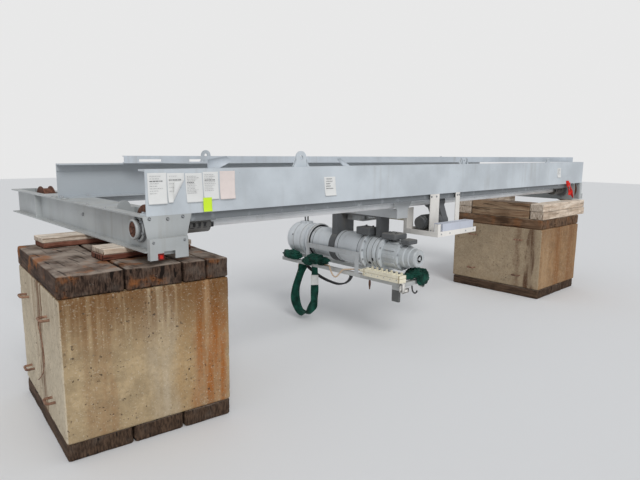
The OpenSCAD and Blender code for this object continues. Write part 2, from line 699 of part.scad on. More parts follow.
module black_cable() {
    color("black") at_origin() tube(fine(cable_pts, 2), cable_w, cable_t, [1, 0.1, 0]);
}
pcord_pts = [[2986.5, 574.3, 828.3], [2990, 640, 828], [2988, 710, 818], [2972, 780, 806],
    [2940, 835, 796], [2922, 880, 740], [2918, 935, 692], [2918, 990, 705], [2924, 1040, 765],
    [2948, 1085, 802], [2982, 1135, 798], [2990, 1210, 795.3], [2990, 1300, 795.3]];
pcord_r = 9;
module pendant_cord() {
    color("navajowhite") at_origin() tube(fine(pcord_pts, 2), pcord_r, pcord_r, [1, 0.2, 0.1]);
}
bundle_r = 130;
bundle_h = 115;
module sling_bundle() {
    color("darkgreen") at_origin() translate([cradle_x1 - bundle_r, cradle_y0 + bundle_r / 2,
        cradle_z + cradle_h + clear]) rotate_extrude()
        polygon([[0, 0], [bundle_r * 0.8, 0], [bundle_r, bundle_h * 0.3], [bundle_r * 0.9, bundle_h * 0.7],
            [bundle_r * 0.5, bundle_h * 0.95], [0, bundle_h]]);
}

// ballast blocks
chamfer = 24;
top_shares = [0.36, 0.70, 0.85];
base_shares = [0.37, 0.68];
groove = 8;
module concrete(x, h) {
    color("tan") translate([x, block_y, base_t]) linear_extrude(h) polygon([[chamfer, 0],
        [block_w - chamfer, 0], [block_w, chamfer],
        [block_w, block_d - chamfer], [block_w - chamfer, block_d], [chamfer, block_d], [0,
            block_d - chamfer], [0, chamfer]]);
}
module timbers(x, z, t, shares) {
    color("saddlebrown") difference() {
        box(x, block_y, z, block_w, block_d, t);
        for (s = shares) {
            box(x + block_w * s, block_y - cut, z - cut, groove / 2, groove + cut, t + 2 * cut);
            box(x + block_w * s, block_y - cut, z + t - groove, groove / 2, block_d + 2 * cut,
                groove + cut);
            box(x + block_w * s, block_y + block_d - groove, z - cut, groove / 2, groove + cut,
                t + 2 * cut);
        }
    }
}
module left_block() { left_place() concrete(block_x, block_h); }
module left_block_top() { left_place() timbers(block_x, base_t + block_h, top_t, top_shares); }
module left_block_base() { left_place() timbers(block_x, 0, base_t, base_shares); }
module right_block() { at_origin() concrete(rblock_x, right_h); }
module right_block_top() { at_origin() timbers(rblock_x, base_t + right_h, rtop_t, top_shares); }
module right_block_base() { at_origin() timbers(rblock_x, 0, base_t, base_shares); }
// lifting loops of bent bar in the blocks' -X faces
module loop_bar(x, y, z) {
    translate([x, y, z]) {
        for (s = [-1, 1]) bar_x(-loop_out, s * loop_w / 2, 0, loop_r, loop_out - clear);
        translate([-loop_out, -loop_w / 2, 0]) rotate([-90, 0, 0]) cylinder(r = loop_r, h = loop_w);
        for (s = [-1, 1]) translate([-loop_out, s * loop_w / 2, 0]) sphere(r = loop_r);
    }
}
module loops(x, h) {
    color("sienna") for (a = loop_y_shares, b = loop_z_shares)
        loop_bar(x, block_y + block_d * a, base_t + h * b);
}
module left_block_loops() { left_place() loops(block_x, block_h); }
module right_block_loops() { at_origin() loops(rblock_x, right_h); }
// packing timbers between the blocks and the trucks
pack_w = 260;
lpack_l = 780;
near_pack_x = -200;
near_pack_y = 375;
rear_pack_x = -380;
rear_pack_y = 1250;
module left_packing() {
    color("peru") at_origin() for (k = [0, 1]) {
        box(near_pack_x + k * groove, near_pack_y, left_top + k * left_pack, lpack_l, pack_w, left_pack);
        box(rear_pack_x - k * groove, rear_pack_y, left_top + k * left_pack, lpack_l, pack_w, left_pack);
    }
}
rpack_l = 1500;
rpack_w = 300;
rpack_near = 220;                    // the near row stops short of the driven wheel
module right_packing() {
    z = base_t + right_h + rtop_t;
    mid_w = block_d - rpack_near - rpack_w - 4 * groove;
    color("burlywood") at_origin() for (k = [0, 1]) {
        box(rblock_x + groove, block_y + k * groove, z + k * right_pack, rpack_l, rpack_near, right_pack);
        box(rblock_x + groove, block_y + rpack_near + 2 * groove, z + k * right_pack, rpack_w, mid_w, right_pack);
        box(rblock_x + groove, block_y + block_d - rpack_w, z + k * right_pack, rpack_l, rpack_w, right_pack);
    }
}

near_girder();
far_girder();
loose_channel();
left_end_truck();
right_end_truck();
left_rail_sweep();
right_end_plate();
left_drive_bearings();
right_drive_bearings();
left_idler_bearings();
right_idler_bearings();
left_drive_wheel();
right_drive_wheel();
left_idler_wheel();
right_idler_wheel();
drive_shaft();
left_coupling();
right_coupling();
drive_platform();
control_box();
drive_motor();
drive_gearbox();
trolley_frame();
hoist_saddle();
hoist_drum_case();
hoist_end_cap();
hoist_gearcase();
hoist_motor();
hoist_tray();
cradle_frame();
pendant();
pendant_cord();
lifting_sling();
sling_bundle();
black_cable();
left_block();
left_block_top();
left_block_base();
left_block_loops();
left_packing();
right_block();
right_block_top();
right_block_base();
right_block_loops();
right_packing();
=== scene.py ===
"""Looks for an overhead travelling crane that is taken down and stored on ballast blocks."""
import json
import math

import bpy
import numpy as np
from mathutils import Matrix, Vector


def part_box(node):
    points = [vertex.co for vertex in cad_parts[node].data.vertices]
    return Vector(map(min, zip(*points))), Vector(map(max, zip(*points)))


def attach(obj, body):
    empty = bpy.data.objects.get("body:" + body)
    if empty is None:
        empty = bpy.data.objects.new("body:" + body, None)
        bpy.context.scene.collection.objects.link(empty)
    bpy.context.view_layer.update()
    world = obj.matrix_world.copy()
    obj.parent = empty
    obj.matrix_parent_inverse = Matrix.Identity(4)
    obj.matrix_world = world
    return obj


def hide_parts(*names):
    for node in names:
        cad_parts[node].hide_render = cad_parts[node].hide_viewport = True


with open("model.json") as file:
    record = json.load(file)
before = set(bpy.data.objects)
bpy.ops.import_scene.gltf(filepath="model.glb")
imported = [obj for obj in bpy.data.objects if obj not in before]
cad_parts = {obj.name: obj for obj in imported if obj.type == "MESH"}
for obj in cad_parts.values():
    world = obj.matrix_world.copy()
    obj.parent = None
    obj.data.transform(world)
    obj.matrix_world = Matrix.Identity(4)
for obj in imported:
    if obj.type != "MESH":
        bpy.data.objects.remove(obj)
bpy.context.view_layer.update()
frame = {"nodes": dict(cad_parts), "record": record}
NODES = frame["nodes"]

# The crane's own corner (near girder's face, its left end, the ground) in the row frame.
CORNER = np.array([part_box("near_girder")[0][0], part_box("near_girder")[0][1], 0.0])
TRUCK_DEPTH, GIRDER_DEPTH, GIRDER_LENGTH = 0.28, 0.35, 7.9
TRUCK_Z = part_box("left_end_truck")[0][2]       # underside of the end trucks
GIRDER_Z = TRUCK_Z + TRUCK_DEPTH               # underside of the girders
TOP = GIRDER_Z + GIRDER_DEPTH
AXLE_Z, SHAFT_Y = TRUCK_Z + 0.16, 0.222        # axis of the line shaft
CRADLE_Z = 0.74                                # underside of the cradle
STAND, TROLLEY, SHAFT = "crane_and_stand", "trolley", "line_shaft"      # the bodies that pieces ride on


def at(x, y, z):
    """A point given from the crane's own corner, in the row frame."""
    return CORNER + np.array([x, y, z], float)


# Camera
def aim_camera():
    """The camera stands where the photograph's lines meet: yaw, pitch and roll in radians."""
    yaw, pitch, roll, lens = 0.747, 0.162, 0.009, 30.68
    data = bpy.data.cameras.new("camera")
    data.lens, data.sensor_width = lens, 36.0
    cam = bpy.data.objects.new("camera", data)
    bpy.context.scene.collection.objects.link(cam)
    cam.location = at(-1.804, -3.864, 2.261)
    cam.rotation_mode = "XYZ"
    level = Matrix.Rotation(-yaw, 4, "Z") @ Matrix.Rotation(math.pi / 2 - pitch, 4, "X")
    cam.rotation_euler = (level @ Matrix.Rotation(roll, 4, "Z")).to_euler()
    bpy.context.scene.camera = cam


aim_camera()


# Mesh makers
def mesh_piece(name, verts, faces, material, body=STAND, slot=None, replaces=()):
    """Puts worked-out points and faces into one named piece that rides on a body."""
    mesh = bpy.data.meshes.new(name)
    mesh.from_pydata(np.asarray(verts, float).tolist(), [], [list(map(int, f)) for f in faces])
    mesh.validate()
    mesh.polygons.foreach_set("use_smooth", [True] * len(mesh.polygons))
    obj = bpy.data.objects.new(name, mesh)
    bpy.context.scene.collection.objects.link(obj)
    mesh.materials.append(material)
    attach(obj, body)
    if replaces:
        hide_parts(*replaces)
    return obj


def quads(rows, cols, wrap_cols=False):
    """Quad indices of a grid of rows x cols points; wrapped columns close on themselves."""
    i, j = np.meshgrid(np.arange(rows - 1), np.arange(cols if wrap_cols else cols - 1), indexing="ij")
    i2, j2 = i + 1, (j + 1) % cols
    return np.stack([i * cols + j, i2 * cols + j, i2 * cols + j2, i * cols + j2], -1).reshape(-1, 4)


class Batch:
    """Collects many small shapes into one piece: points and faces are stacked with an offset."""

    def __init__(self):
        self.verts, self.faces, self.count = [], [], 0

    def add(self, verts, faces):
        verts = np.asarray(verts, float).reshape(-1, 3)
        self.verts.append(verts)
        self.faces.extend([[int(k) + self.count for k in f] for f in faces])
        self.count += len(verts)

    def make(self, name, material, **kw):
        return mesh_piece(name, np.concatenate(self.verts), self.faces, material, **kw)


def closed_tube(rings):
    """Rings of points, each m points round, joined in order and closed by a fan at both ends."""
    n, m, _ = rings.shape
    verts = np.concatenate([rings.reshape(-1, 3), rings[0].mean(0)[None], rings[-1].mean(0)[None]])
    faces = quads(n, m, wrap_cols=True).tolist()
    a, b = n * m, n * m + 1
    faces += [[a, (k + 1) % m, k] for k in range(m)]
    faces += [[b, (n - 1) * m + k, (n - 1) * m + (k + 1) % m] for k in range(m)]
    return verts, outward(verts, faces)


def signed_volume(verts, faces):
    """Six times the volume: the sum of a . (b x c) over a fan of each face."""
    t = np.array([(f[0], f[i], f[i + 1]) for f in faces for i in range(1, len(f) - 1)])
    a, b, c = verts[t[:, 0]], verts[t[:, 1]], verts[t[:, 2]]
    return float(np.einsum("ij,ij->i", a, np.cross(b, c)).sum())


def outward(verts, faces):
    """The faces as they are, or all turned over where they enclose a negative volume."""
    return [f[::-1] for f in faces] if signed_volume(verts, faces) < 0 else faces


def two_sided(verts, n, m, offset):
    """A grid of n x m points and its copy moved by the offset, joined by a rim that runs round their edges."""
    faces = quads(n, m).tolist()
    both = np.concatenate([verts, verts + offset])
    faces += [[k + n * m for k in f[::-1]] for f in faces]
    rim = [i * m for i in range(n)] + [(n - 1) * m + j for j in range(1, m)]
    rim += [i * m + m - 1 for i in range(n - 2, -1, -1)] + list(range(m - 2, 0, -1))
    faces += [[a, a + n * m, b + n * m, b] for a, b in zip(rim, rim[1:] + rim[:1])]
    return both, outward(both, faces)


def lathe(profile, base, axis, segments=40):
    """A profile of (distance along the axis, radius) pairs turned about an axis through base."""
    profile = np.asarray(profile, float)
    axis = np.asarray(axis, float) / np.linalg.norm(axis)
    ref = np.array([0, 0, 1.0]) if abs(axis[2]) < 0.9 else np.array([1.0, 0, 0])
    u = np.cross(axis, ref)
    u /= np.linalg.norm(u)
    v = np.cross(axis, u)
    t = np.linspace(0, 2 * np.pi, segments, endpoint=False)
    ring = np.cos(t)[:, None] * u + np.sin(t)[:, None] * v
    rings = np.asarray(base, float) + profile[:, :1, None] * axis + profile[:, 1:, None] * ring[None]
    return closed_tube(rings)


def spline(points, n):
    """A smooth line through the points (Catmull-Rom), n steps between each two."""
    p = np.asarray(points, float)
    p = np.concatenate([p[:1], p, p[-1:]])
    out = []
    t = np.linspace(0, 1, n, endpoint=False)[:, None]
    for i in range(1, len(p) - 2):
        a, b, c, d = p[i - 1:i + 3]
        square, cube = 2 * a - 5 * b + 4 * c - d, 3 * b - a - 3 * c + d
        out.append(0.5 * (2 * b + (c - a) * t + square * t ** 2 + cube * t ** 3))
    return np.concatenate(out + [p[-1:]])


def frames_along(path, flat):
    """Tangent, flat direction and its normal at each point of a path."""
    d = np.gradient(path, axis=0)
    d /= np.linalg.norm(d, axis=1, keepdims=True)
    w = np.broadcast_to(np.asarray(flat, float), d.shape)
    s = w - (w * d).sum(1, keepdims=True) * d
    s /= np.linalg.norm(s, axis=1, keepdims=True)
    return d, s, np.cross(s, d)


def tube(path, half_w, half_t, flat=(1, 0.2, 0.1), m=12, power=1.0, ripple=None, fold=None):
    """A section carried along a path: an ellipse (power 1) or a flatter strap (power under 1).

    fold shifts each point across the flat; each ring keeps its centre on the path."""
    path = np.asarray(path, float)
    d, s, u = frames_along(path, flat)
    t = np.linspace(0, 2 * np.pi, m, endpoint=False)
    c, q = np.cos(t), np.sin(t)
    c, q = np.sign(c) * np.abs(c) ** power, np.sign(q) * np.abs(q) ** power
    w = np.broadcast_to(half_w, (len(path),))[:, None, None]
    h = np.broadcast_to(half_t, (len(path),))[:, None, None]
    if ripple is not None:
        h = h * ripple[:, :, None]
    rings = path[:, None] + w * c[None, :, None] * s[:, None] + h * q[None, :, None] * u[:, None]
    if fold is not None:
        rings = rings + (fold - fold.mean(1, keepdims=True))[:, :, None] * u[:, None]
    return closed_tube(rings)


def wave_noise(p, seed, scale, octaves=3):
    """Smooth noise: a sum of sines in fixed random directions, finer and weaker each octave."""
    rng = np.random.default_rng(seed)
    out = np.zeros(p.shape[:-1])
    for o in range(octaves):
        k = rng.normal(size=(6, 3)) * (2 ** o) / scale
        ph = rng.uniform(0, 2 * np.pi, 6)
        out += np.sin(p @ k.T + ph).sum(-1) / (6 * 1.7 ** o)
    return out


def worn_beam(lo, hi, along, radius, seed, rough=0.004, n_along=48, n_round=14):
    """A beam with rounded, uneven edges: a rounded rectangle carried along its length.

    Each corner of the section is a quarter circle. Rings of falling size close each end with a flat face
    that has a soft edge, and every point is pulled in by smooth noise, less so towards an end's middle."""
    lo, hi = np.asarray(lo, float), np.asarray(hi, float)
    a = along
    b, c = [k for k in range(3) if k != a]
    size = hi - lo
    rb = min(radius, size[b] / 2.2, size[c] / 2.2)
    t = np.linspace(0, np.pi / 2, 4)
    corners = [(1, 1, 0), (-1, 1, 1), (-1, -1, 2), (1, -1, 3)]
    sec = []
    hb, hc = size[b] / 2 - rb, size[c] / 2 - rb
    for sb, sc, q in corners:
        ang = t + q * np.pi / 2
        sec.append(np.stack([sb * hb + rb * np.cos(ang), sc * hc + rb * np.sin(ang)], 1))
        nxt = corners[(q + 1) % 4]
        end = np.array([nxt[0] * hb + rb * np.cos(ang[-1]), nxt[1] * hc + rb * np.sin(ang[-1])])
        f = np.linspace(0, 1, n_round, endpoint=False)[1:, None]
        sec.append(sec[-1][-1] * (1 - f) + end * f)
    sec = np.concatenate(sec)
    s = np.linspace(0, 1, n_along)
    inner = 1 - 2 * rb / min(size[b], size[c])
    cap = np.array([0.02, 0.12, 0.3, 0.5, 0.75, 0.93, 1.0])
    k = len(cap)
    edge = rb * 0.3 / size[a]
    pos = np.concatenate([[0] * k, [edge], rb / size[a] + s * (1 - 2 * rb / size[a]), [1 - edge], [1] * k])
    shrink = np.ones(len(pos))
    shrink[:k], shrink[-k:] = cap * inner, cap[::-1] * inner
    shrink[[k, -k - 1]] = 1 - 0.4 * rb / min(size[b], size[c])
    depth = np.ones(len(pos))
    depth[:k], depth[-k:] = cap ** 2, cap[::-1] ** 2
    rings = np.zeros((len(pos), len(sec), 3))
    rings[..., a] = lo[a] + pos[:, None] * size[a]
    mid = (lo + hi) / 2
    rings[..., b] = mid[b] + sec[None, :, 0] * shrink[:, None]
    rings[..., c] = mid[c] + sec[None, :, 1] * shrink[:, None]
    stretch = np.ones(3)
    stretch[a] = 0.25
    move = wave_noise(rings * stretch, seed, 0.05, 4)
    centre = rings.mean(1, keepdims=True)
    out = rings - centre
    out /= np.maximum(np.linalg.norm(out, axis=2, keepdims=True), 1e-6)
    rings = rings - out * (depth[:, None] * rough * (0.9 + move))[..., None]
    return closed_tube(rings)


# Materials
def new_group(name, inputs, outputs):
    """An empty shader node group with its sockets."""
    g = bpy.data.node_groups.new(name, "ShaderNodeTree")
    kinds = {"f": "NodeSocketFloat", "c": "NodeSocketColor", "v": "NodeSocketVector"}
    for label, kind, value in inputs:
        s = g.interface.new_socket(label, in_out="INPUT", socket_type=kinds[kind])
        if value is not None:
            s.default_value = value
    for label, kind in outputs:
        g.interface.new_socket(label, in_out="OUTPUT", socket_type=kinds[kind])
    return g, g.nodes.new("NodeGroupInput"), g.nodes.new("NodeGroupOutput")


class Net:
    """Short calls for building a node tree."""

    def __init__(self, tree):
        self.t = tree

    def node(self, kind, links=(), **props):
        n = self.t.nodes.new("ShaderNode" + kind)
        for k, v in props.items():
            if k.startswith("in_"):
                n.inputs[int(k[3:])].default_value = v
            else:
                setattr(n, k, v)
        for key, src in dict(links).items():
            self.t.links.new(src, n.inputs[key])
        return n

    def noise(self, vec, scale, detail=4.0, rough=0.55):
        n = self.node("TexNoise", {"Vector": vec})
        n.inputs["Scale"].default_value, n.inputs["Detail"].default_value = scale, detail
        n.inputs["Roughness"].default_value = rough
        return n.outputs["Fac"]

    def ramp(self, src, lo, hi, flip=False):
        n = self.node("MapRange", {0: src})
        n.inputs[1].default_value, n.inputs[2].default_value = lo, hi
        n.inputs[3].default_value, n.inputs[4].default_value = (1, 0) if flip else (0, 1)
        n.interpolation_type = "SMOOTHSTEP"
        return n.outputs[0]

    def math(self, op, a, b=None):
        n = self.node("Math", operation=op)
        for i, v in enumerate((a, b)):
            if v is None:
                continue
            if isinstance(v, (int, float)):
                n.inputs[i].default_value = v
            else:
                self.t.links.new(v, n.inputs[i])
        return n.outputs[0]

    def mix(self, fac, a, b):
        n = self.node("Mix", data_type="RGBA")
        for key, v in ((0, fac), (6, a), (7, b)):
            if isinstance(v, (int, float)):
                n.inputs[key].default_value = v
            elif isinstance(v, (tuple, list)):
                n.inputs[key].default_value = (*v, 1) if len(v) == 3 else v
            else:
                self.t.links.new(v, n.inputs[key])
        return n.outputs[2]

    def scaled(self, vec, xyz):
        n = self.node("Mapping", {0: vec})
        n.inputs["Scale"].default_value = xyz
        return n.outputs[0]


def make_streaks():
    """Dirt that runs down a surface: noise stretched along Z, gated by a broad noise."""
    g, i, o = new_group("streaks", [("Vector", "v", None), ("Width", "f", 14.0), ("Amount", "f", 0.5)],
                        [("Mask", "f")])
    n = Net(g)
    v = n.scaled(i.outputs["Vector"], (1, 1, 0.07))
    a = n.node("TexNoise", {"Vector": v, "Scale": i.outputs["Width"]}, in_3=5.0)
    broad = n.noise(i.outputs["Vector"], 1.3, 3)
    m = n.math("MULTIPLY", n.ramp(a.outputs["Fac"], 0.48, 0.78), n.ramp(broad, 0.35, 0.75))
    g.links.new(n.math("MULTIPLY", m, i.outputs["Amount"]), o.inputs["Mask"])
    return g


def make_speckle():
    """Small chips and specks: fine noise above a threshold, more of them where a broad noise is high."""
    g, i, o = new_group("speckle", [("Vector", "v", None), ("Scale", "f", 60.0), ("Amount", "f", 0.5)],
                        [("Mask", "f")])
    n = Net(g)
    a = n.node("TexNoise", {"Vector": i.outputs["Vector"], "Scale": i.outputs["Scale"]}, in_3=4.0)
    broad = n.ramp(n.noise(i.outputs["Vector"], 2.2, 3), 0.3, 0.8)
    thr = n.math("SUBTRACT", 0.78, n.math("MULTIPLY", broad, 0.16))
    cutoff = n.math("MULTIPLY", n.math("SUBTRACT", a.outputs["Fac"], thr), 18.0)
    m = n.node("Clamp", {0: cutoff}).outputs[0]
    g.links.new(n.math("MULTIPLY", m, i.outputs["Amount"]), o.inputs["Mask"])
    return g


def make_dust():
    """Dust on what faces up: the normal's Z, broken by noise."""
    g, i, o = new_group("dust", [("Vector", "v", None), ("Amount", "f", 0.5)], [("Mask", "f")])
    n = Net(g)
    geo = n.node("NewGeometry")
    z = n.node("SeparateXYZ", {0: geo.outputs["Normal"]}).outputs[2]
    up = n.ramp(z, 0.35, 0.95)
    m = n.math("MULTIPLY", up, n.ramp(n.noise(i.outputs["Vector"], 5.0, 5), 0.25, 0.7))
    g.links.new(n.math("MULTIPLY", m, i.outputs["Amount"]), o.inputs["Mask"])
    return g


def make_grain():
    """Wood grain: noise stretched along the axis that Stretch makes small, bent by a second noise.

    Fine fibres and open cracks are noises of the same stretched place."""
    g, i, o = new_group("grain", [("Vector", "v", None), ("Stretch", "v", (1, 1, 1)), ("Rings", "f", 16.0)],
                        [("Grain", "f"), ("Fibre", "f"), ("Crack", "f")])
    n = Net(g)
    v = n.node("VectorMath", {0: i.outputs["Vector"], 1: i.outputs["Stretch"]}, operation="MULTIPLY").outputs[0]
    warp = n.node("TexNoise", {"Vector": v}, in_2=3.0, in_3=3.0)
    bent = n.node("VectorMath", {0: v, 1: warp.outputs["Color"]}, operation="ADD").outputs[0]
    a = n.node("TexNoise", {"Vector": bent, "Scale": i.outputs["Rings"]}, in_3=6.0)
    b = n.node("TexNoise", {"Vector": v}, in_2=120.0, in_3=3.0)
    c = n.node("TexNoise", {"Vector": v}, in_2=26.0, in_3=5.0)
    g.links.new(a.outputs["Fac"], o.inputs["Grain"])
    g.links.new(b.outputs["Fac"], o.inputs["Fibre"])
    g.links.new(n.ramp(c.outputs["Fac"], 0.33, 0.41, flip=True), o.inputs["Crack"])
    return g


GROUPS = {"streaks": make_streaks(), "speckle": make_speckle(), "dust": make_dust(), "grain": make_grain()}


def start_material(name, rough, gloss=0.5):
    """A material with Object coordinates and one Principled shader."""
    m = bpy.data.materials.new(name)
    m.use_nodes = True
    t = m.node_tree
    t.nodes.clear()
    out = t.nodes.new("ShaderNodeOutputMaterial")
    bsdf = t.nodes.new("ShaderNodeBsdfPrincipled")
    t.links.new(bsdf.outputs[0], out.inputs[0])
    bsdf.inputs["Roughness"].default_value = rough
    bsdf.inputs["Specular IOR Level"].default_value = gloss
    n = Net(t)
    vec = n.node("TexCoord").outputs["Object"]
    return m, n, bsdf, vec


def use(n, group, vec, **values):
    """A node of one of the shared groups with its inputs set to the values."""
    node = n.node("Group")
    node.node_tree = GROUPS[group]
    n.t.links.new(vec, node.inputs["Vector"])
    for k, v in values.items():
        node.inputs[k].default_value = v
    return node


def add_bump(n, bsdf, height, distance, strength=0.5):
    """Bends the shading by a height, which stands for the distance in metres where it is one."""
    b = n.node("Bump", {"Height": height})
    b.inputs["Distance"].default_value, b.inputs["Strength"].default_value = distance, strength
    n.t.links.new(b.outputs[0], bsdf.inputs["Normal"])


def paint(name, color, rough=0.5, dirt=(0.30, 0.27, 0.22), dirty=0.5, rust=0.35, shade=0.08, orange=0.3,
          low=None, shade_and_grease=0.14):
    """Weathered paint: a mottled coat, dirt streaks, dust on top faces and rusty chips.

    What lies under the height low is darkened, in noisy patches, to the share shade_and_grease of the paint's colour:
    painted shade on the girders' lower lip and under the far girder's top flange.
    orange is the height of the coat's fine orange peel."""
    m, n, bsdf, vec = start_material(name, rough)
    broad = n.noise(vec, 1.7, 5)
    dark = tuple(c * (1 - 2 * shade) for c in color)
    light = tuple(min(1, c * (1 + shade)) for c in color)
    col = n.mix(n.ramp(broad, 0.3, 0.7), dark, light)
    st = use(n, "streaks", vec, Width=16.0, Amount=dirty).outputs[0]
    col = n.mix(st, col, dirt)
    du = use(n, "dust", vec, Amount=dirty * 0.6).outputs[0]
    col = n.mix(du, col, (0.42, 0.38, 0.32))
    sp = use(n, "speckle", vec, Scale=70.0, Amount=rust).outputs[0]
    col = n.mix(sp, col, (0.17, 0.075, 0.035))
    # painted shade: below the height low the colour darkens towards shade_and_grease times the paint's colour
    if low:
        under = n.ramp(n.node("SeparateXYZ", {0: vec}).outputs[2], low - 0.004, low, flip=True)
        under = n.math("MULTIPLY", under, n.ramp(n.noise(vec, 9.0, 5), 0.1, 0.45))
        col = n.mix(under, col, tuple(c * shade_and_grease for c in color))
    n.t.links.new(col, bsdf.inputs["Base Color"])
    r = n.math("ADD", n.math("MULTIPLY", n.math("ADD", st, n.math("ADD", du, sp)), 0.3), rough)
    n.t.links.new(n.node("Clamp", {0: r}).outputs[0], bsdf.inputs["Roughness"])
    fine = n.noise(vec, 160.0, 3)
    h = n.math("SUBTRACT", n.math("MULTIPLY", fine, orange), sp)
    add_bump(n, bsdf, h, 0.0015, 0.35)
    return m


def rusty(name, color=(0.16, 0.06, 0.03), light=(0.33, 0.15, 0.07), rough=0.85):
    """Rusty iron: a fine noise between two browns, with darker patches of a broad noise."""
    m, n, bsdf, vec = start_material(name, rough)
    a = n.noise(vec, 22.0, 8, 0.65)
    b = n.noise(vec, 4.0, 4)
    col = n.mix(n.ramp(a, 0.35, 0.68), color, light)
    col = n.mix(n.ramp(b, 0.5, 0.75), col, (0.09, 0.045, 0.03))
    n.t.links.new(col, bsdf.inputs["Base Color"])
    add_bump(n, bsdf, n.noise(vec, 90.0, 6, 0.7), 0.003, 0.6)
    return m


def timber(name, dark, light, crack, along, rings=14.0, wear=(0.30, 0.25, 0.21), orange=0.0):
    """Old timber: grain stretched along the piece, open cracks and pale worn tops.

    The end grain shows where the normal lies along the piece: upright streaks of noise, and the
    cracks of the long faces are left out there. orange is the share of rust-coloured patches."""
    m, n, bsdf, vec = start_material(name, 0.82, gloss=0.12)
    stretch = [1.0, 1.0, 1.0]
    stretch[along] = 0.08
    gr = use(n, "grain", vec, Stretch=stretch, Rings=rings)
    normal = n.node("NewGeometry").outputs["Normal"]
    end = n.ramp(n.math("ABSOLUTE", n.node("SeparateXYZ", {0: normal}).outputs[along]), 0.6, 0.9)
    col = n.mix(n.ramp(gr.outputs["Grain"], 0.32, 0.68), dark, light)
    fibre = n.math("MULTIPLY", n.ramp(gr.outputs["Fibre"], 0.4, 0.75), 0.4)
    col = n.mix(fibre, col, tuple(c * 0.45 for c in dark))
    blotch = n.ramp(n.noise(vec, 5.5, 6, 0.62), 0.45, 0.72)
    col = n.mix(n.math("MULTIPLY", blotch, 0.6), col, tuple(c * 0.55 for c in dark))
    upright = [9.0, 9.0, 2.0]
    upright[along] = 1.0
    streak = n.ramp(n.noise(n.scaled(vec, upright), 9.0, 7, 0.62), 0.36, 0.66)
    end_col = n.mix(streak, tuple(c * 0.6 for c in dark), tuple(c * 0.75 for c in light))
    worn = n.math("MULTIPLY", n.ramp(n.noise(vec, 7.0, 5), 0.48, 0.75), 0.35)
    end_col = n.mix(worn, end_col, tuple(c * 0.45 for c in wear))
    split = n.ramp(n.noise(n.scaled(vec, upright), 3.2, 4, 0.5), 0.34, 0.39, flip=True)
    end_col = n.mix(split, end_col, crack)
    col = n.mix(end, col, end_col)
    up = use(n, "dust", vec, Amount=0.85).outputs[0]
    col = n.mix(up, col, wear)
    if orange:
        edge = n.math("MULTIPLY", n.ramp(n.noise(vec, 2.6, 6, 0.65), 0.5, 0.62), orange)
        col = n.mix(edge, col, (0.33, 0.12, 0.035))
    cut = n.math("MULTIPLY", n.math("MULTIPLY", gr.outputs["Crack"], 0.75), n.math("SUBTRACT", 1.0, end))
    col = n.mix(cut, col, crack)
    pits = use(n, "speckle", vec, Scale=45.0, Amount=0.8).outputs[0]
    col = n.mix(pits, col, crack)
    n.t.links.new(col, bsdf.inputs["Base Color"])
    h = n.math("SUBTRACT", n.math("MULTIPLY", gr.outputs["Fibre"], 0.4), n.math("ADD", cut, pits))
    add_bump(n, bsdf, h, 0.006, 0.7)
    return m


def band(n, src, lo, hi, soft):
    """1 between lo and hi, falling to 0 over soft on both sides."""
    return n.math("MULTIPLY", n.ramp(src, lo - soft, lo + soft), n.ramp(src, hi - soft, hi + soft, flip=True))


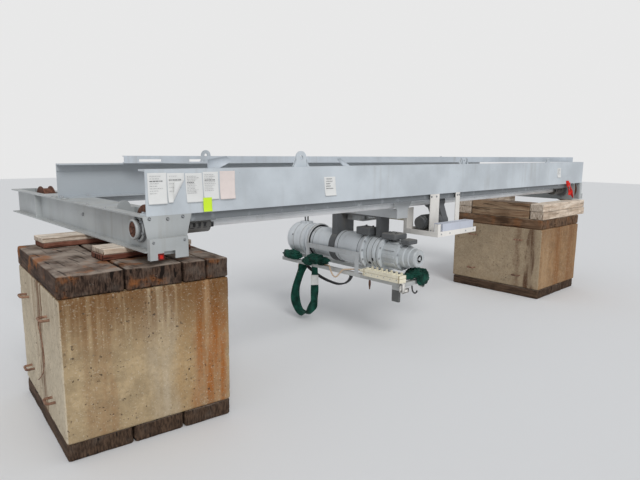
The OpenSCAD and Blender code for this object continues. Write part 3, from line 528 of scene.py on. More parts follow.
def concrete(name, corner, size, base, side, stain, front_bands, side_bands, top_stain=0.95):
    """Stained concrete. Places are measured from the block's near left lower corner.

    The front face takes rust-brown run-off in the given bands across its width, the -X face the pale
    side colour, a painted highlight for that lit side, with its own bands, and both darken towards the top.
    Edges of every band are moved by noise."""
    m, n, bsdf, vec = start_material(name, 0.9, gloss=0.15)
    local = n.node("Mapping", {0: vec})
    local.inputs["Location"].default_value = [-c for c in corner]
    xyz = n.node("SeparateXYZ", {0: local.outputs[0]})
    wob = n.math("MULTIPLY", n.math("SUBTRACT", n.noise(n.scaled(vec, (1, 1, 0.35)), 6.0, 6), 0.5), 0.30)
    x, y, z = n.math("ADD", xyz.outputs[0], wob), n.math("ADD", xyz.outputs[1], wob), xyz.outputs[2]
    fine = n.noise(vec, 34.0, 8, 0.68)
    mid = n.noise(vec, 7.0, 6, 0.6)
    run = n.node("TexNoise", {"Vector": n.scaled(vec, (1, 1, 0.05))}, in_2=17.0, in_3=5.0).outputs["Fac"]
    col = n.mix(n.ramp(mid, 0.35, 0.68), tuple(c * 0.82 for c in base), tuple(min(1, c * 1.12) for c in base))
    normal = n.node("NewGeometry").outputs["Normal"]
    # the -X face takes the pale side colour: painted light for the lit side of the block
    face = n.ramp(n.node("SeparateXYZ", {0: normal}).outputs[0], -0.8, -0.5, flip=True)
    col = n.mix(face, col, n.mix(n.ramp(mid, 0.3, 0.7), tuple(c * 0.85 for c in side), side))
    front = n.math("SUBTRACT", 1.0, face)
    for lo, hi, colour, amount in front_bands:
        fill = n.math("ADD", n.math("MULTIPLY", n.ramp(run, 0.3, 0.62), 0.6), 0.4)
        k = n.math("MULTIPLY", band(n, x, lo, hi, 0.07), n.math("MULTIPLY", fill, amount))
        col = n.mix(n.math("MULTIPLY", k, front), col, colour)
    for lo, hi, colour, amount in side_bands:
        fill = n.math("ADD", n.math("MULTIPLY", n.ramp(run, 0.3, 0.6), 0.7), 0.3)
        k = n.math("MULTIPLY", band(n, y, lo, hi, 0.03), n.math("MULTIPLY", fill, amount))
        col = n.mix(n.math("MULTIPLY", k, face), col, colour)
    top = n.math("MULTIPLY", n.ramp(z, size * 0.42, size * 1.02), n.ramp(run, 0.30, 0.52))
    top = n.math("MULTIPLY", top, n.math("ADD", n.math("MULTIPLY", front, 0.75), 0.25))
    col = n.mix(n.math("MULTIPLY", top, top_stain), col, stain)
    low = n.math("MULTIPLY", n.ramp(z, 0.0, size * 0.22, flip=True), n.ramp(mid, 0.4, 0.7))
    col = n.mix(n.math("MULTIPLY", low, 0.45), col, tuple(c * 0.6 for c in base))
    col = n.mix(n.math("MULTIPLY", n.ramp(fine, 0.42, 0.72), 0.42), col, tuple(c * 0.55 for c in base))
    col = n.mix(n.math("MULTIPLY", n.ramp(n.noise(vec, 74.0, 4, 0.6), 0.57, 0.68), 0.4), col, (0.64, 0.56, 0.45))
    holes = n.math("MULTIPLY", n.ramp(n.noise(vec, 46.0, 2, 0.5), 0.66, 0.71),
                   n.ramp(n.noise(vec, 3.1, 3), 0.38, 0.6))
    chips = use(n, "speckle", vec, Scale=30.0, Amount=0.95).outputs[0]
    pock = n.math("MAXIMUM", chips, n.math("MULTIPLY", holes, 0.85))
    col = n.mix(pock, col, (0.075, 0.055, 0.04))
    n.t.links.new(col, bsdf.inputs["Base Color"])
    h = n.math("SUBTRACT", n.math("MULTIPLY", fine, 0.5), pock)
    add_bump(n, bsdf, h, 0.008, 0.7)
    return m


def cloth(name, color, weave=420.0, rough=0.85, sheen=0.08):
    """Webbing: two crossed bands of a fine wave, faded in patches."""
    m, n, bsdf, vec = start_material(name, rough, gloss=0.15)
    patch = n.ramp(n.noise(vec, 9.0, 5), 0.3, 0.75)
    col = n.mix(patch, tuple(c * 0.4 for c in color), tuple(min(1, c * 1.9) for c in color))
    a = n.node("TexWave", {"Vector": vec}, bands_direction="Z", in_1=weave)
    b = n.node("TexWave", {"Vector": vec}, bands_direction="Y", in_1=weave)
    w = n.math("MULTIPLY", a.outputs["Fac"], b.outputs["Fac"])
    col = n.mix(n.math("MULTIPLY", w, 0.35), col, tuple(c * 0.4 for c in color))
    n.t.links.new(col, bsdf.inputs["Base Color"])
    bsdf.inputs["Sheen Weight"].default_value = sheen
    add_bump(n, bsdf, w, 0.001, 0.5)
    return m


def plain(name, color, rough=0.5, grime=0.3, scale=30.0):
    """Moulded or sheet material with grime in a fine and a broad noise."""
    m, n, bsdf, vec = start_material(name, rough)
    a = n.ramp(n.noise(vec, scale, 5), 0.4, 0.8)
    b = n.ramp(n.noise(vec, scale * 0.15, 4), 0.35, 0.8)
    mask = n.math("MULTIPLY", n.math("ADD", a, b), grime)
    col = n.mix(n.node("Clamp", {0: mask}).outputs[0], color, tuple(c * 0.5 for c in color))
    n.t.links.new(col, bsdf.inputs["Base Color"])
    add_bump(n, bsdf, n.noise(vec, scale * 6, 2), 0.0005, 0.3)
    return m


# One material for each slot, under the slot's name.
MATS = {
    # girder_paint: low and shade_and_grease darken the lower lip under the girder's face, painted shade
    "girder_paint": paint("girder_paint", (0.575, 0.62, 0.655), 0.42, dirty=0.35, rust=0.3,
                          low=GIRDER_Z - 0.002, shade_and_grease=0.3),
    "channel_paint": paint("channel_paint", (0.58, 0.63, 0.68), 0.45, dirty=0.4, rust=0.25),
    "truck_paint": paint("truck_paint", (0.45, 0.47, 0.47), 0.42, dirty=0.5, rust=0.5),
    "bearing_iron": paint("bearing_iron", (0.20, 0.20, 0.205), 0.5, dirt=(0.05, 0.035, 0.03), dirty=0.9, rust=0.6),
    "wheel_iron": rusty("wheel_iron", (0.085, 0.034, 0.02), (0.20, 0.082, 0.048)),
    "shaft_steel": paint("shaft_steel", (0.88, 0.89, 0.90), 0.36, dirty=0.25, rust=0.2),
    "platform_paint": paint("platform_paint", (0.83, 0.80, 0.75), 0.45, dirty=0.45, rust=0.35),
    "box_paint": paint("box_paint", (0.55, 0.58, 0.66), 0.4, dirty=0.3, rust=0.1),
    "motor_paint": paint("motor_paint", (0.11, 0.115, 0.12), 0.5, dirt=(0.2, 0.17, 0.13), dirty=0.6, rust=0.4),
    "trolley_paint": paint("trolley_paint", (0.52, 0.54, 0.55), 0.5, dirty=0.7, rust=0.5),
    "hoist_paint": paint("hoist_paint", (0.70, 0.735, 0.76), 0.33, dirt=(0.16, 0.15, 0.13), dirty=0.35,
                         rust=0.15, orange=0.5),
    "pendant_plastic": plain("pendant_plastic", (0.92, 0.86, 0.68), 0.55, grime=0.25),
    "cord_rubber": plain("cord_rubber", (0.70, 0.52, 0.36), 0.6),
    "cable_rubber": plain("cable_rubber", (0.012, 0.012, 0.013), 0.6),
    "sling_fabric": cloth("sling_fabric", (0.007, 0.055, 0.038)),
    # the second colour is the -X side's, paler than the front: painted light for that lit side
    "concrete": concrete("concrete", at(-0.66, 0.03, 0.14), 1.08,
                         (0.44, 0.33, 0.195), (0.66, 0.57, 0.43), (0.17, 0.082, 0.030),
                         [(0.98, 1.27, (0.34, 0.125, 0.032), 1.0), (0.16, 0.34, (0.27, 0.135, 0.055), 0.6),
                          (0.62, 0.84, (0.52, 0.44, 0.33), 0.55), (0.84, 0.98, (0.40, 0.24, 0.10), 0.6)],
                         [(0.62, 0.80, (0.17, 0.085, 0.045), 1.0), (0.86, 0.92, (0.26, 0.15, 0.09), 0.6)]),
    "timber": timber("timber", (0.042, 0.026, 0.019), (0.135, 0.085, 0.060), (0.012, 0.008, 0.006), 1,
                     wear=(0.42, 0.35, 0.29), orange=0.7),
    "packing_timber": timber("packing_timber", (0.50, 0.38, 0.28), (0.88, 0.74, 0.60), (0.17, 0.11, 0.07), 0),
    "rusty_bar": rusty("rusty_bar", (0.14, 0.06, 0.035), (0.40, 0.24, 0.16)),
    "red_timber": timber("red_timber", (0.16, 0.055, 0.035), (0.34, 0.15, 0.10), (0.03, 0.015, 0.012), 0),
}
PAPER = plain("paper", (0.80, 0.80, 0.78), 0.8, grime=0.12, scale=14.0)
PINK = plain("pink_paper", (0.82, 0.72, 0.68), 0.8, grime=0.15, scale=14.0)
INK = plain("ink", (0.16, 0.16, 0.17), 0.9, grime=0.2)
TAG = plain("bright_tag", (0.66, 0.92, 0.03), 0.5, grime=0.08)
RED = cloth("red_ribbon", (0.75, 0.02, 0.012), rough=0.6)
CREAM = paint("cream_paint", (0.80, 0.74, 0.58), 0.5, dirty=0.5, rust=0.4)
BOLT = paint("bolt_steel", (0.42, 0.44, 0.46), 0.42, dirty=0.5, rust=0.7)
# dark rubber for buttons and the hook, and painted shade for the coupling windows and the hoist's holes
DARK = plain("dark_rubber_and_painted_shade", (0.03, 0.03, 0.032), 0.6)
WHITE = plain("white_sleeve", (0.72, 0.72, 0.70), 0.7, grime=0.25)
PALE_WOOD = timber("pale_wood", (0.62, 0.48, 0.36), (0.92, 0.80, 0.67), (0.22, 0.15, 0.10), 0,
                   wear=(0.78, 0.70, 0.60))
BASE_WOOD = timber("base_wood", (0.055, 0.034, 0.023), (0.135, 0.085, 0.056), (0.014, 0.010, 0.008), 1)
CROSS_WOOD = timber("cross_wood", (0.24, 0.14, 0.08), (0.44, 0.31, 0.20), (0.03, 0.02, 0.015), 1)

# Nodes that look a little different from the rest of their slot.
OWN = {
    # a darker copy of the girder paint, darkened further below the top flange: painted shade on the far girder's inner
    # face
    "far_girder": paint("far_girder_shaded_paint", (0.52, 0.56, 0.59), 0.45, dirty=0.5, rust=0.35,
                        low=TOP - 0.014, shade_and_grease=0.85),
    "left_coupling": paint("coupling_iron", (0.17, 0.165, 0.155), 0.45, dirty=0.6, rust=0.4),
    "hoist_motor": paint("hoist_motor_paint", (0.52, 0.55, 0.565), 0.36, dirty=0.5, rust=0.2, orange=0.5),
    # the gear case gets its own tone of the hoist's grey for how the light falls on it: painted light
    "hoist_gearcase": paint("hoist_gear_tone_for_light", (0.60, 0.635, 0.655), 0.35, dirty=0.4, rust=0.15, orange=0.5),
    "cradle_frame": paint("cradle_paint", (0.52, 0.53, 0.52), 0.5, dirty=0.7, rust=0.5, low=0.69, shade_and_grease=0.22),
}
OWN["right_coupling"] = OWN["left_coupling"]
for row in frame["record"]["subparts"]:
    obj = NODES[row["node"]]
    obj.data.materials.clear()
    obj.data.materials.append(OWN.get(row["node"], MATS[row["material_slot"]]))


# Cords and webbing
def mm(points):
    """Route points given in millimetres from the crane's own corner, in the row frame in metres."""
    return CORNER + np.array(points, float) / 1000.0


# The lifting sling's loop, from the cradle's beam down and back up, and the direction its flat side lies along.
SLING = mm([[2990, 1660, 739.7], [2990, 1660, 715], [2990, 1660, 690], [2960, 1690, 560], [2920, 1715, 400],
            [2900, 1700, 240], [2900, 1625, 115], [2910, 1530, 80], [2925, 1440, 120], [2945, 1385, 230],
            [2960, 1380, 360], [2975, 1395, 540], [2990, 1410, 690], [2990, 1410, 715], [2990, 1410, 739.7]])
SLING_FLAT = (1, -0.4, 0.1)
# The flat black cable, from the cradle's beam through a bow to the same beam further on.
CABLE = mm([[3003, 1560, 739.7], [3003, 1560, 727], [3003, 1560, 712], [3052, 1485, 640], [3066, 1390, 597],
            [3064, 1260, 572], [3056, 1130, 562], [3040, 1000, 568], [3020, 880, 602], [3004, 790, 655],
            [2990, 740, 712], [2990, 740, 727], [2990, 740, 739.7]])
# The pendant's lead, from its gland over the tray and through one hanging bow.
PCORD = mm([[2986.5, 574.3, 828.3], [2990, 640, 828], [2988, 710, 818], [2972, 780, 806], [2940, 835, 796],
            [2922, 880, 740], [2918, 935, 692], [2918, 990, 705], [2924, 1040, 765], [2948, 1085, 802],
            [2982, 1135, 798], [2990, 1210, 795.3], [2990, 1300, 795.3]])


def hung_cord(name, points, steps, half_w, half_t, material, node, flat, power=1.0, m=16, ripple=0.0,
              crumple=0.0, narrow=0.0, **facts):
    """A cord or strap along its route: an ellipse or a soft rectangle carried along a smooth line.

    ripple thins it by crossed waves, crumple bends the flat into slanting creases, and narrow is the width
    lost towards the far end. The other words are not used."""
    path = spline(points, steps)
    wave, fold = None, None
    s = np.linspace(0, 1, len(path))[:, None]
    t = np.linspace(0, 2 * np.pi, m, endpoint=False)[None]
    if crumple:
        across = np.cos(t)
        crease = 1 - 2 * np.abs(np.sin(2.1 * across + 13 * s + 1.5 * np.sin(9 * s)))
        crease = crease + 0.6 * np.sin(5.0 * across - 34 * s) * np.sin(21 * s + 1)
        ease = np.clip(s / 0.08, 0, 1) * np.clip((0.80 - s) / 0.08, 0.12, 1)
        fold = crumple * crease * ease
        late = np.clip((s - 0.6) / 0.25, 0, 1)[:, 0]
        uneven = 1 - 0.07 * (1 + np.sin(29 * s[:, 0] + 0.8))
        half_w = half_w * (1 - narrow * late * late * (3 - 2 * late)) * uneven
    if ripple:
        wave = 1 - ripple * (0.5 + 0.5 * np.sin(38 * s + 2.0 * np.cos(t)) * np.cos(17 * s + 3 * t))
    verts, faces = tube(path, half_w, half_t, flat, m, power, wave, fold)
    obj = mesh_piece(name, verts, faces, material, body=TROLLEY, slot=facts.pop("slot"), replaces=(node,))
    return obj


hung_cord("lifting_sling_webbing", SLING, 14, 0.065, 0.012, MATS["sling_fabric"], "lifting_sling", SLING_FLAT,
          power=0.6, m=40, ripple=0.45, crumple=0.012, narrow=0.28, slot="sling_fabric",
          diameter=0.116, far_end="object", stiffness="limp", lay="hanging")
hung_cord("black_power_cable", CABLE, 8, 0.030, 0.012, MATS["cable_rubber"], "black_cable", (1, 0.1, 0),
          power=0.6, m=20, ripple=0.25, slot="cable_rubber",
          diameter=0.06, far_end="object", stiffness="limp", lay="hanging")
hung_cord("pendant_lead", PCORD, 8, 0.009, 0.009, MATS["cord_rubber"], "pendant_cord", (1, 0.2, 0.1),
          slot="cord_rubber", diameter=0.018, far_end="object", stiffness="limp", lay="loose")


# Ballast blocks
def pocked_block(lo, hi, seed, pocks=420):
    """A cast block: a rounded box whose points sink where smooth noise and small round pocks say so.

    A pock is a bell-shaped hollow of its own depth and width around a random place on the faces."""
    verts, faces = worn_beam(lo, hi, 2, 0.02, seed, rough=0.003, n_along=150, n_round=48)
    rng = np.random.default_rng(seed + 1)
    lo, hi = np.asarray(lo, float), np.asarray(hi, float)
    place = lo + (hi - lo) * rng.uniform(0, 1, (pocks, 3))
    face = rng.integers(0, 4, pocks)
    place[face == 0, 0], place[face == 1, 0] = lo[0], hi[0]
    place[face == 2, 1], place[face == 3, 1] = lo[1], hi[1]
    size = rng.uniform(0.006, 0.018, pocks)
    sink = np.zeros(len(verts))
    for i in range(0, pocks, 60):
        d2 = ((verts[:, None] - place[None, i:i + 60]) ** 2).sum(-1)
        sink += (np.exp(-d2 / size[i:i + 60] ** 2) * size[i:i + 60] * 0.45).sum(1)
    middle = (lo + hi) / 2
    way = middle - verts
    way[:, 2] *= 0.2
    way /= np.linalg.norm(way, axis=1, keepdims=True)
    return verts + way * np.minimum(sink, 0.012)[:, None], faces


BLOCK_Y, BLOCK_DEEP = (-0.115, 1.445), 1.56
LEFT_X, RIGHT_X = (-0.66, 0.66), (6.3, 7.62)
LEFT_Y, LEFT_TURN = 0.03, math.radians(-5.4)   # where the left block's near left corner is, and how it is turned
BASE_HIGH = 0.14                               # the timbers under the concrete
LEFT_CONCRETE, LEFT_TOP = 1.22, 1.39           # top of the concrete and of the timbers on it
LEFT_LAYER, RIGHT_LAYER = 0.046, 0.12          # each of the two layers of packing
RIGHT_TOP = TRUCK_Z - 0.0003 - 2 * RIGHT_LAYER
RIGHT_CONCRETE = RIGHT_TOP - 0.15


def stand_askew(side, verts):
    """The left block stands a little askew: its points turn about its near left corner, moved to its place."""
    if side == "right":
        return verts
    a = LEFT_TURN
    d = np.asarray(verts)[:, :2] - at(LEFT_X[0], BLOCK_Y[0], 0)[:2]
    turned = d @ np.array([[math.cos(a), math.sin(a)], [-math.sin(a), math.cos(a)]])
    turned = turned + at(LEFT_X[0], LEFT_Y, 0)[:2]
    return np.column_stack([turned, np.asarray(verts)[:, 2]])


def make_block(side, xs, low, high, seed):
    """The concrete of one block, between the timbers under it and those on top of it."""
    verts, faces = pocked_block(at(xs[0], BLOCK_Y[0], low), at(xs[1], BLOCK_Y[1], high), seed)
    verts = stand_askew(side, verts)
    mesh_piece(side + "_ballast_concrete", verts, faces, MATS["concrete" if side == "left" else "right_concrete"],
               slot="concrete", replaces=(side + "_block",))


def make_timbers(side, part, xs, z0, z1, shares, seed, material):
    """Sleepers laid side by side along Y, each a worn beam a few millimetres inside its own place."""
    edges = [0] + list(shares) + [1]
    batch = Batch()
    rng = np.random.default_rng(seed)
    for i in range(len(edges) - 1):
        x0 = xs[0] + (xs[1] - xs[0]) * edges[i] + (0.004 if i else 0)
        x1 = xs[0] + (xs[1] - xs[0]) * edges[i + 1] - (0.004 if i < len(edges) - 2 else 0)
        dy = rng.uniform(0, 0.02, 2)
        lo, hi = at(x0, BLOCK_Y[0] + dy[0], z0), at(x1, BLOCK_Y[1] - dy[1], z1 - rng.uniform(0, 0.004))
        verts, faces = worn_beam(lo, hi, 1, 0.014, seed + i, rough=0.005, n_along=90, n_round=22)
        batch.add(stand_askew(side, verts), faces)
    batch.make("%s_timber_%s" % (side, part), material, slot="timber", replaces=("%s_block_%s" % (side, part),))


def bent_loop(x, y, z, seed):
    """A lifting loop: round bar that leaves the face, turns along it in two tight bends and comes back."""
    r, out, half = 0.0108, 0.062, 0.055
    sag = np.random.default_rng(seed).uniform(-0.006, 0.006)
    t = np.linspace(0, np.pi / 2, 6)
    b = 0.022
    left = np.stack([-(out - b) - b * np.sin(t), -half + b * (1 - np.cos(t)), np.zeros(6)], 1)
    mid = np.stack([np.full(8, -out), np.linspace(-half + b, half - b, 8), np.zeros(8)], 1)[1:-1]
    right = left[::-1] * (1, -1, 1)
    legs = [[[0.012, -half, 0], [-0.02, -half, 0]], [[-0.02, half, 0], [0.012, half, 0]]]
    path = np.concatenate([legs[0], left, mid, right, legs[1]])
    path[:, 2] = sag * (-path[:, 0] / out)
    return tube(at(x, y, z) + path, r, r, (0.05, 0.05, 1), 12)


def make_loops(side, x, base, high, seed):
    """Four lifting loops on a block's -X face, two low and two high."""
    batch = Batch()
    k = 0
    for a in (0.24, 0.76):
        for b in (0.2, 0.8):
            k += 1
            verts, faces = bent_loop(x, BLOCK_Y[0] + BLOCK_DEEP * a, base + (high - base) * b, seed + k)
            batch.add(stand_askew(side, verts), faces)
    batch.make(side + "_lifting_loops", MATS["rusty_bar"], slot="rusty_bar", replaces=(side + "_block_loops",))


# the second colour is the -X side's, paler than the front: painted light for that lit side
MATS["right_concrete"] = concrete(
    "right_concrete", at(RIGHT_X[0], BLOCK_Y[0], BASE_HIGH), 0.952,
    (0.34, 0.205, 0.105), (0.43, 0.335, 0.225), (0.17, 0.085, 0.04),
    [(0.05, 0.30, (0.45, 0.30, 0.17), 0.7), (0.5, 0.72, (0.26, 0.12, 0.045), 0.9),
     (0.95, 1.15, (0.24, 0.11, 0.045), 0.8)],
    [(0.10, 0.22, (0.085, 0.036, 0.02), 1.0), (0.34, 0.42, (0.16, 0.085, 0.05), 0.5)], 0.45)
RIGHT_WOOD = timber("right_timber", (0.10, 0.056, 0.032), (0.27, 0.165, 0.10), (0.02, 0.013, 0.009), 1,
                    wear=(0.42, 0.33, 0.25), orange=0.35)
for side, xs, concrete_top, block_top, wood, seed in (
        ("left", LEFT_X, LEFT_CONCRETE, LEFT_TOP, MATS["timber"], (11, 31, 41, 5)),
        ("right", RIGHT_X, RIGHT_CONCRETE, RIGHT_TOP, RIGHT_WOOD, (23, 51, 61, 15))):
    make_block(side, xs, BASE_HIGH, concrete_top, seed[0])
    make_timbers(side, "top", xs, concrete_top, block_top, (0.36, 0.70, 0.85), seed[1], wood)
    make_timbers(side, "base", xs, 0.0, BASE_HIGH, (0.37, 0.68), seed[2], BASE_WOOD)
    make_loops(side, xs[0], BASE_HIGH, concrete_top, seed[3])


def rusty_wire():
    """A rusty wire hooked over the upper near loop that bows down the face to the lower far one."""
    line = [(-0.722, 0.262, 1.016), (-0.728, 0.250, 0.965), (-0.722, 0.228, 0.90), (-0.712, 0.226, 0.80),
            (-0.700, 0.29, 0.66), (-0.692, 0.42, 0.53), (-0.688, 0.58, 0.43), (-0.684, 0.70, 0.37)]
    route = stand_askew("left", spline([at(*p) for p in line], 8))
    verts, faces = tube(route, 0.004, 0.004, (1, 0.1, 0.05), 8)
    wire = mesh_piece("rusty_wire", verts, faces, MATS["rusty_bar"], slot="rusty_bar")


rusty_wire()


def beam(x0, y0, z0, x1, y1, z1, along, seed, n=60, nr=12):
    """A worn beam of packing between two points given from the crane's own corner."""
    return worn_beam(at(x0, y0, z0), at(x1, y1, z1), along, 0.008, seed, 0.003, n, nr)


def make_packing():
    """The squared timbers between the blocks and the trucks, two layers in each stack."""
    for k, (wood, part) in enumerate(((MATS["red_timber"], "lower"), (PALE_WOOD, "upper"))):
        b, z0, shift = Batch(), LEFT_TOP + k * LEFT_LAYER, k * 0.008
        b.add(*beam(-0.2 + shift, 0.375, z0, 0.58 + shift, 0.635, z0 + LEFT_LAYER, 0, 71 + k))
        b.add(*beam(-0.38 - shift, 1.25, z0, 0.40 - shift, 1.51, z0 + LEFT_LAYER, 0, 73 + k))
        b.make("left_packing_" + part, wood, slot="packing_timber", replaces=("left_packing",))
        b, c = Batch(), Batch()
        (y0, y1), x0, z0 = BLOCK_Y, RIGHT_X[0] + 0.008, RIGHT_TOP + k * RIGHT_LAYER
        z1 = z0 + RIGHT_LAYER
        b.add(*beam(x0, y0 + shift, z0, x0 + 1.5, y0 + 0.22 + shift, z1, 0, 81 + k, n=90, nr=18))
        c.add(*beam(x0, y0 + 0.236, z0, x0 + 0.3, y1 - 0.316, z1, 1, 83 + k, n=70, nr=18))
        b.add(*beam(x0, y1 - 0.3, z0, x0 + 1.5, y1, z1, 0, 85 + k, n=90, nr=18))
        b.make("right_packing_" + part, PALE_WOOD if k else MATS["packing_timber"], slot="packing_timber",
               replaces=("right_packing",))
        c.make("right_cross_packing_" + part, CROSS_WOOD, slot="packing_timber", replaces=("right_packing",))


make_packing()


# Small hardware
def hexbolt(batch, spot, axis, r=0.012, h=0.009):
    """A bolt head: a washer disc, then a six-sided head with a slightly domed top."""
    axis = np.asarray(axis, float)
    batch.add(*lathe([(0, r), (0, r * 1.55), (r * 0.22, r * 1.55), (r * 0.25, r * 1.45)], spot, axis, 20))
    base = np.asarray(spot, float) + axis * r * 0.25
    batch.add(*lathe([(0, r), (h * 0.8, r), (h, r * 0.82)], base, axis, 6))


def plate(lo, hi, bevel=0.002):
    """A flat plate with eased edges: two inset faces and a full-size ring at mid thickness."""
    lo, hi = np.asarray(lo, float), np.asarray(hi, float)
    size = hi - lo
    thin = int(np.argmin(size))
    b, c = [k for k in range(3) if k != thin]
    e = min(bevel, size[thin] / 2.5)
    rings = []
    for t, inset in ((0, e), (e, 0), (size[thin] - e, 0), (size[thin], e)):
        ring = np.zeros((4, 3))
        ring[:, thin] = lo[thin] + t
        ring[:, b] = [lo[b] + inset, hi[b] - inset, hi[b] - inset, lo[b] + inset]
        ring[:, c] = [lo[c] + inset, lo[c] + inset, hi[c] - inset, hi[c] - inset]
        rings.append(ring)
    return closed_tube(np.array(rings))


def sheet_of_paper(corner, width, height, seed, fold=0.0, lean=0.0):
    """A sheet stuck to the girder's face: a grid that stands off by a millimetre and curls at its lower edge.

    The stand-off is a bow along the width that grows with the square of the distance down, plus a curl that
    grows with its sixth power; fold turns the lower right corner up over a slanting line."""
    n, m = 24, 30
    u, v = np.meshgrid(np.linspace(0, 1, n), np.linspace(0, 1, m), indexing="ij")
    rng = np.random.default_rng(seed)
    off = 0.0012 + 0.004 * np.sin(np.pi * u) * v ** 2 * rng.uniform(0.3, 1) + 0.012 * v ** 6 * rng.uniform(0.2, 1)
    x, z = u * width + lean * v, -v * height
    if fold:
        d = (u + v - (2 - fold)) / math.sqrt(2)
        over = np.maximum(d, 0)
        x, z = x - over * width * 1.3, z + over * height * 1.3
        off = off + np.minimum(over * 0.06, 0.010)
    verts = np.stack([corner[0] + x, corner[1] - off, corner[2] + z], -1).reshape(-1, 3)
    return two_sided(verts, n, m, (0, 0.0006, 0))


def marks(batch, corner, width, height, seed, rows=9, bold=0.008):
    """Blank filler lines on a sheet: short dark bars with no letters in them."""
    rng = np.random.default_rng(seed)
    for k in range(rows):
        z = corner[2] - height * (0.12 + 0.74 * k / rows)
        x, end = corner[0] + width * 0.1, corner[0] + width * rng.uniform(0.45, 0.9)
        thick = height * (0.026 if k == rows // 3 else bold)
        while x < end:
            w = min(width * rng.uniform(0.05, 0.16), end - x)
            lo, hi = (x, corner[1] - 0.0072, z - thick / 2), (x + w, corner[1] - 0.0066, z + thick / 2)
            batch.add(*plate(lo, hi, 0.0001))
            x += w + width * 0.035


def papers_on_girder():
    """Five sheets in a row at the near girder's left end, the last one pink, a bright tag and two more sheets.

    Each row of numbers is a sheet's place along the girder, its width, height, distance under the top, fold,
    lean and number of filler lines."""
    paper, pink, ink = Batch(), Batch(), Batch()
    for k, (x, wide, tall, drop, fold, lean, rows) in enumerate((
            (0.018, 0.155, 0.236, 0.026, 0.0, 0.0, 8), (0.177, 0.145, 0.226, 0.030, 0.75, 0.004, 5),
            (0.33, 0.150, 0.230, 0.034, 0.0, 0.010, 12), (0.487, 0.142, 0.224, 0.026, 0.0, 0.008, 10),
            (0.646, 0.148, 0.232, 0.022, 0.0, 0.0, 0))):
        corner = at(x, 0, TOP - drop)
        target = paper if rows else pink
        target.add(*sheet_of_paper(corner, wide, tall, 200 + k, fold=fold, lean=lean))
        if rows:
            marks(ink, corner, wide * 0.9, tall * 0.85, 210 + k, rows=rows)
    for x, dz, w, h in ((1.82, 0.10, 0.150, 0.185), (6.91, 0.09, 0.12, 0.15)):
        corner = at(x, 0, TOP - dz)
        paper.add(*sheet_of_paper(corner, w, h, 230, lean=0.018))
        marks(ink, corner + (0.014, 0, 0), w * 0.85, h * 0.85, 231, rows=5, bold=0.03)
    paper.make("papers_on_girder", PAPER)
    pink.make("pink_paper_on_girder", PINK)
    ink.make("filler_lines_on_papers", INK)
    mesh_piece("bright_tag", *sheet_of_paper(at(0.482, -0.009, TOP - 0.232), 0.080, 0.113, 233), TAG)


papers_on_girder()


def round_shaft(x, radius, turn):
    """A point on a circle round the line shaft; turn is measured from straight up."""
    return at(x, SHAFT_Y + radius * math.sin(turn), AXLE_Z + radius * math.cos(turn))


def coupling_details():
    """Dark square patches that paint the shade in the couplings' windows, rows of bolts and the pale clamping bars on
    top of them.
    """
    dark, pale, bars = Batch(), Batch(), Batch()
    for x0 in (0.40, 7.20):
        for k in range(4):
            x = x0 + 0.045 + 0.062 * k
            for turn in (-1.66, 0.45, 2.5):
                ring = []
                for r in (0.064, 0.0752):
                    for dx, da in ((0, -0.3), (0.040, -0.3), (0.040, 0.3), (0, 0.3)):
                        ring.append(round_shaft(x + dx, r, turn + da))
                dark.add(*closed_tube(np.array(ring).reshape(2, 4, 3)))
        for turn in (-0.7, -0.25, 1.9):
            c, out = round_shaft(x0, 0.074, turn), (0, math.sin(turn), math.cos(turn))
            for k in range(5):
                hexbolt(pale, c + (0.03 + 0.06 * k, 0, 0), out, 0.009, 0.008)
        for turn in (-0.95, 0.0, 2.2):
            ring = []
            for dx in (0.006, 0.294):
                for r, da in ((0.072, -0.2), (0.083, -0.2), (0.083, 0.2), (0.072, 0.2)):
                    ring.append(round_shaft(x0 + dx, r, turn + da))
            bars.add(*closed_tube(np.array(ring).reshape(2, 4, 3)))
    bars.make("coupling_bars", MATS["truck_paint"], body=SHAFT)
    # dark patches standing for the shade inside the couplings' windows: painted shade
    dark.make("coupling_window_shade", DARK, body=SHAFT)
    pale.make("coupling_bolts", BOLT, body=SHAFT)


def bearing_details():
    """Flanged bearing housings: turned rims round the flange and the ring, bolts, and bolted rusty hub plates."""
    rings, bolts, hubs = Batch(), Batch(), Batch()
    for x, way in ((0.055, -1), (7.845, 1)):
        c = at(x, SHAFT_Y, AXLE_Z)
        out = np.array([way, 0, 0], float)
        rings.add(*lathe([(0.019, 0.080), (0.019, 0.098), (0.024, 0.102), (0.028, 0.099), (0.029, 0.080)], c, out, 56))
        rings.add(*lathe([(0.046, 0.062), (0.046, 0.080), (0.066, 0.082), (0.074, 0.077), (0.076, 0.066),
                          (0.060, 0.061)], c, out, 56))
        for a in np.arange(6) * np.pi / 3 + 0.3:
            hexbolt(bolts, c + out * 0.028 + np.array([0, math.cos(a), math.sin(a)]) * 0.090, out, 0.0095, 0.009)
        for a in (math.pi / 4, 3 * math.pi / 4, 5 * math.pi / 4, 7 * math.pi / 4):
            hexbolt(hubs, c + out * 0.0725 + np.array([0, math.cos(a), math.sin(a)]) * 0.038, out, 0.008, 0.006)
        hubs.add(*lathe([(0.0715, 0.030), (0.075, 0.030), (0.078, 0.026)], c, out, 32))
    rings.make("bearing_rims", MATS["truck_paint"])
    bolts.make("bearing_bolts", BOLT)
    hubs.make("hub_bolts", MATS["wheel_iron"], body=SHAFT)


